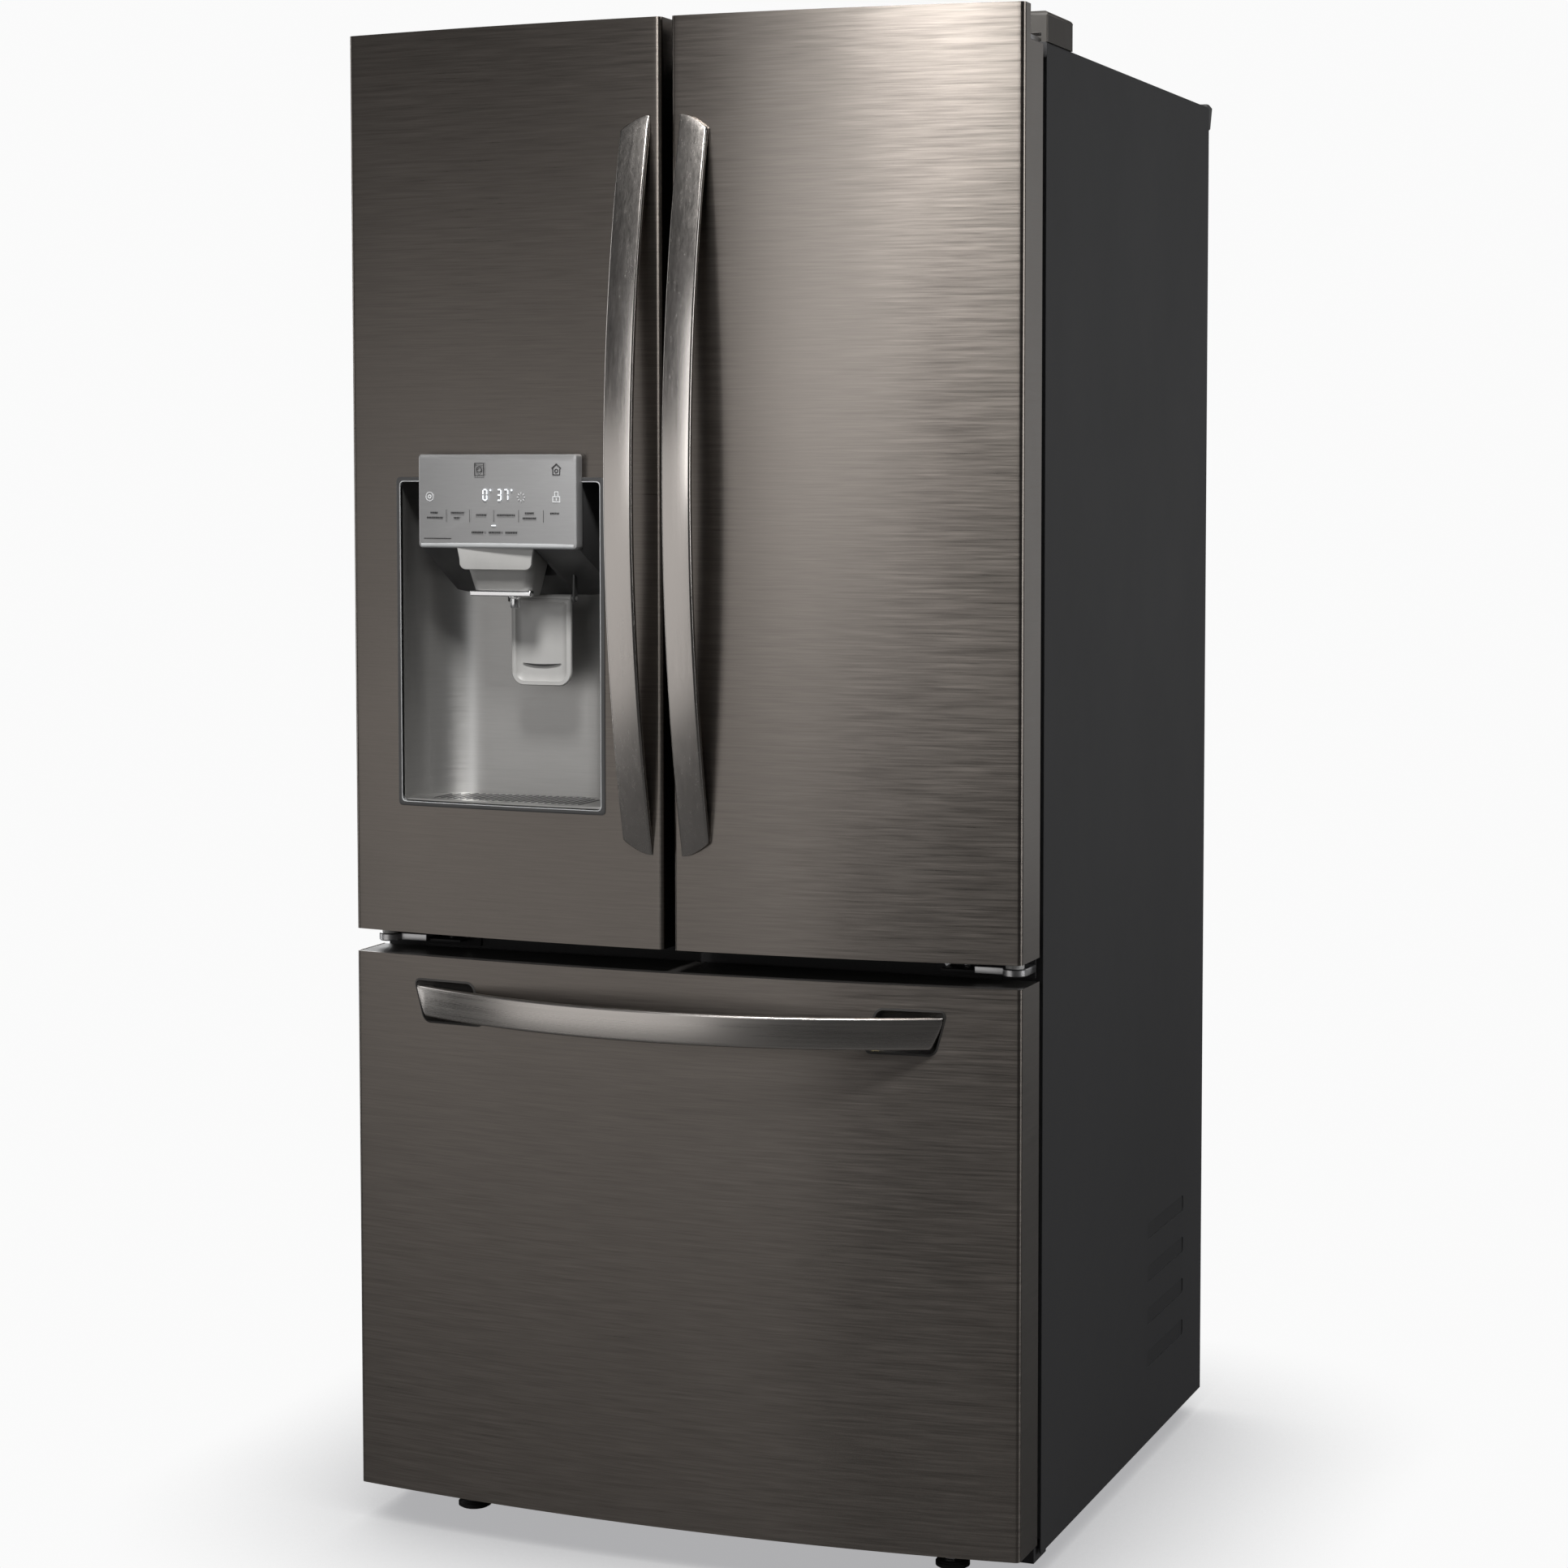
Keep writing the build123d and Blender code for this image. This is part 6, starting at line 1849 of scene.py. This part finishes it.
@dataclass(frozen=True)
class Studio:
    """A pale floor, soft lights, and a camera a little to the right of the front."""

    eye: tuple[float, float, float] = (1.4969, -3.7910, 1.2719)
    azimuth: float = 20.87
    dip: float = 3.63
    lens: float = 75.03
    shift: Point2 = (-0.0310, -0.0733)
    floor: float = 14.0
    contact: float = 0.35
    pale: float = 0.96
    felt: float = 0.055

    def camera(self) -> None:
        """Makes the camera."""
        data = bpy.data.cameras.new("camera")
        data.lens, data.sensor_width = self.lens, 36.0
        data.shift_x, data.shift_y = self.shift
        data.clip_start, data.clip_end = 0.05, 100.0
        eye = bpy.data.objects.new("camera", data)
        eye.location = self.eye
        eye.rotation_euler = (math.radians(90 - self.dip), 0.0, math.radians(self.azimuth))
        bpy.context.scene.collection.objects.link(eye)
        bpy.context.scene.camera = eye

    def ground(self) -> None:
        """Makes the floor: pale to the camera, with a painted soft contact shadow, and darker to the metal.
        """
        half = self.floor / 2
        corners = [(-half, -half, 0), (half, -half, 0), (half, half, 0), (-half, half, 0)]
        mesh = mesh_from("floor", corners, [(0, 1, 2, 3)])
        floor = bpy.data.objects.new("studio_floor", mesh)
        g = Graph("pale_floor")
        cloud = g.noise((0.8, 0.8, 0.8), 3.0)
        g.paint(g.spread(cloud, 0.0, 1.0), (0.12,) * 3, (0.14,) * 3)
        g.set(Roughness=0.8)
        contact = g.node("AmbientOcclusion", samples=12)
        contact.inputs["Distance"].default_value = self.contact
        glow = g.node("Emission")
        # The glow is tinted darker where ambient occlusion finds the refrigerator close: a painted contact
        # shadow.
        openness = g.spread(contact.outputs["AO"], 0.0, 1.0, 0.35, 1.0)
        g.join(g.tint(openness, (0.42, 0.42, 0.43), (self.pale,) * 3), glow.inputs["Color"])
        mixer, path = g.node("MixShader"), g.node("LightPath")
        g.join(path.outputs["Is Camera Ray"], mixer.inputs["Fac"])
        g.join(g.shader.outputs["BSDF"], mixer.inputs[1])
        g.join(glow.outputs["Emission"], mixer.inputs[2])
        output = next(n for n in g.tree.nodes if n.type == "OUTPUT_MATERIAL")
        g.join(mixer.outputs["Shader"], output.inputs["Surface"])
        floor.data.materials.append(g.material)
        bpy.context.scene.collection.objects.link(floor)

    def sky(self) -> None:
        """A pale surround, brighter behind the object than what its metal mirrors."""
        world = bpy.data.worlds.new("surround")
        bpy.context.scene.world = world
        world.use_nodes = True
        tree = world.node_tree
        tree.nodes.clear()
        output = tree.nodes.new("ShaderNodeOutputWorld")
        mixer = tree.nodes.new("ShaderNodeMixShader")
        path = tree.nodes.new("ShaderNodeLightPath")
        seen, felt = tree.nodes.new("ShaderNodeBackground"), tree.nodes.new("ShaderNodeBackground")
        seen.inputs["Color"].default_value = (self.pale, self.pale, self.pale, 1)
        felt.inputs["Color"].default_value = (self.felt, self.felt, self.felt, 1)
        tree.links.new(path.outputs["Is Camera Ray"], mixer.inputs["Fac"])
        tree.links.new(felt.outputs["Background"], mixer.inputs[1])
        tree.links.new(seen.outputs["Background"], mixer.inputs[2])
        tree.links.new(mixer.outputs["Shader"], output.inputs["Surface"])
        bpy.context.scene.view_settings.view_transform = "Standard"

    def build(self) -> None:
        """Makes the whole studio."""
        self.camera()
        self.ground()
        self.sky()
        warm, warmer = (1.0, 0.99, 0.97), (1.0, 0.98, 0.96)
        for lamp in (
            Softbox("upper_key", (0.18, -1.55, 2.70), (0.28, -0.35, 1.55), (0.4, 0.35), 46.0, warm),
            Softbox("mid_key", (-0.20, -2.10, 1.55), (0.12, -0.35, 1.30), (0.5, 0.7), 3.2),
            Softbox("left_panel", (-1.42, -2.55, 0.77), (0.0, -0.40, 0.77), (2.3, 1.5), 9.5, warmer),
            Softbox("far_left", (-3.6, -0.4, 1.3), (0.0, -0.3, 0.9), (1.2, 2.4), 20.0),
            Softbox("right_fill", (4.6, 0.35, 1.9), (0.0, 0.0, 1.1), (2.4, 2.4), 80.0),
            Softbox("right_rear", (2.1, 4.0, 1.4), (0.4, 0.0, 1.0), (1.5, 2.6), 6.0),
            Softbox("top", (0.0, -0.2, 4.6), (0.0, 0.0, 0.8), (3.2, 2.6), 30.0),
            Softbox("rear", (-2.6, 4.2, 2.4), (0.0, 0.3, 0.9), (2.4, 2.0), 60.0),
        ):
            lamp.build()


# ---------------------------------------------------------------- everything
def doors() -> None:
    """Builds the three bowed fronts, their handles and seals, and the dispenser."""
    low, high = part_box("drawer_skin")
    bow = Bow((high.x - low.x) / 2, 0.030, low.y)
    dispenser = Dispenser(bow)
    notch_low, notch_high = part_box("top_hinges")
    cap_low = notch_high.z - 0.0135
    for title, body, side in (("left_door", Body.LEFT_DOOR, -1), ("right_door", Body.RIGHT_DOOR, 1)):
        hinge_x = notch_high.x - 0.016
        span = mirrored(side, hinge_x - 0.020, high.x + 0.001)
        notch = slab("notch", (span[0], notch_low.y - 0.012, cap_low), (span[1], 0.0, notch_high.z + 0.1))
        cutters = [notch] + ([dispenser.cutter()] if side < 0 else [])
        Front(title, body, bow).build(cutters)
        DoorHandle(title, body, bow, -side).build()
        Gasket(title, body).build()
    drawer_handle = DrawerHandle(bow)
    Front("drawer", Body.DRAWER, bow).build(drawer_handle.cutters())
    drawer_handle.build()
    Gasket("drawer", Body.DRAWER).build()
    dispenser.build()


def bins() -> None:
    """Builds the door bins, one for each solid of their CAD nodes."""
    for node, body in (("right_door_bins", Body.RIGHT_DOOR), ("left_door_bins", Body.LEFT_DOOR)):
        for number, (low, high) in enumerate(loose_parts(node)):
            DoorBin(f"{node[:-1]}_{number + 1}", body, low, high).build(node)


def loose_parts(node: str) -> list[tuple[Vector, Vector]]:
    """The boxes of a CAD node's separate solids, lowest first.

    Args:
        node: the CAD node.

    Returns:
        (lowest corner, highest corner) of each solid.
    """
    bm = bmesh.new()
    bm.from_mesh(frame["nodes"][node].data)
    bmesh.ops.remove_doubles(bm, verts=bm.verts, dist=1e-6)
    left, boxes = set(bm.verts), []
    while left:
        stack, found = [left.pop()], []
        while stack:
            vert = stack.pop()
            found.append(vert.co.copy())
            for edge in vert.link_edges:
                other = edge.other_vert(vert)
                if other in left:
                    left.remove(other)
                    stack.append(other)
        low, high = (Vector([pick(p[k] for p in found) for k in range(3)]) for pick in (min, max))
        boxes.append((low, high))
    bm.free()
    return sorted(boxes, key=lambda b: b[0].z)


def main() -> None:
    """Builds every sub-assembly."""
    logging.basicConfig(level=logging.INFO, format="%(name)s: %(message)s", stream=sys.stdout)
    Studio().build()
    Cabinet().build()
    doors()
    for side in (-1, 1):
        CentreHinge(side).build()
        HingeCover(side).build()
    bins()
    Basket().build()
    CompressorUnit().build()
    for dressing in CARRIED:
        dressing.apply()


if __name__ == "__main__":
    main()
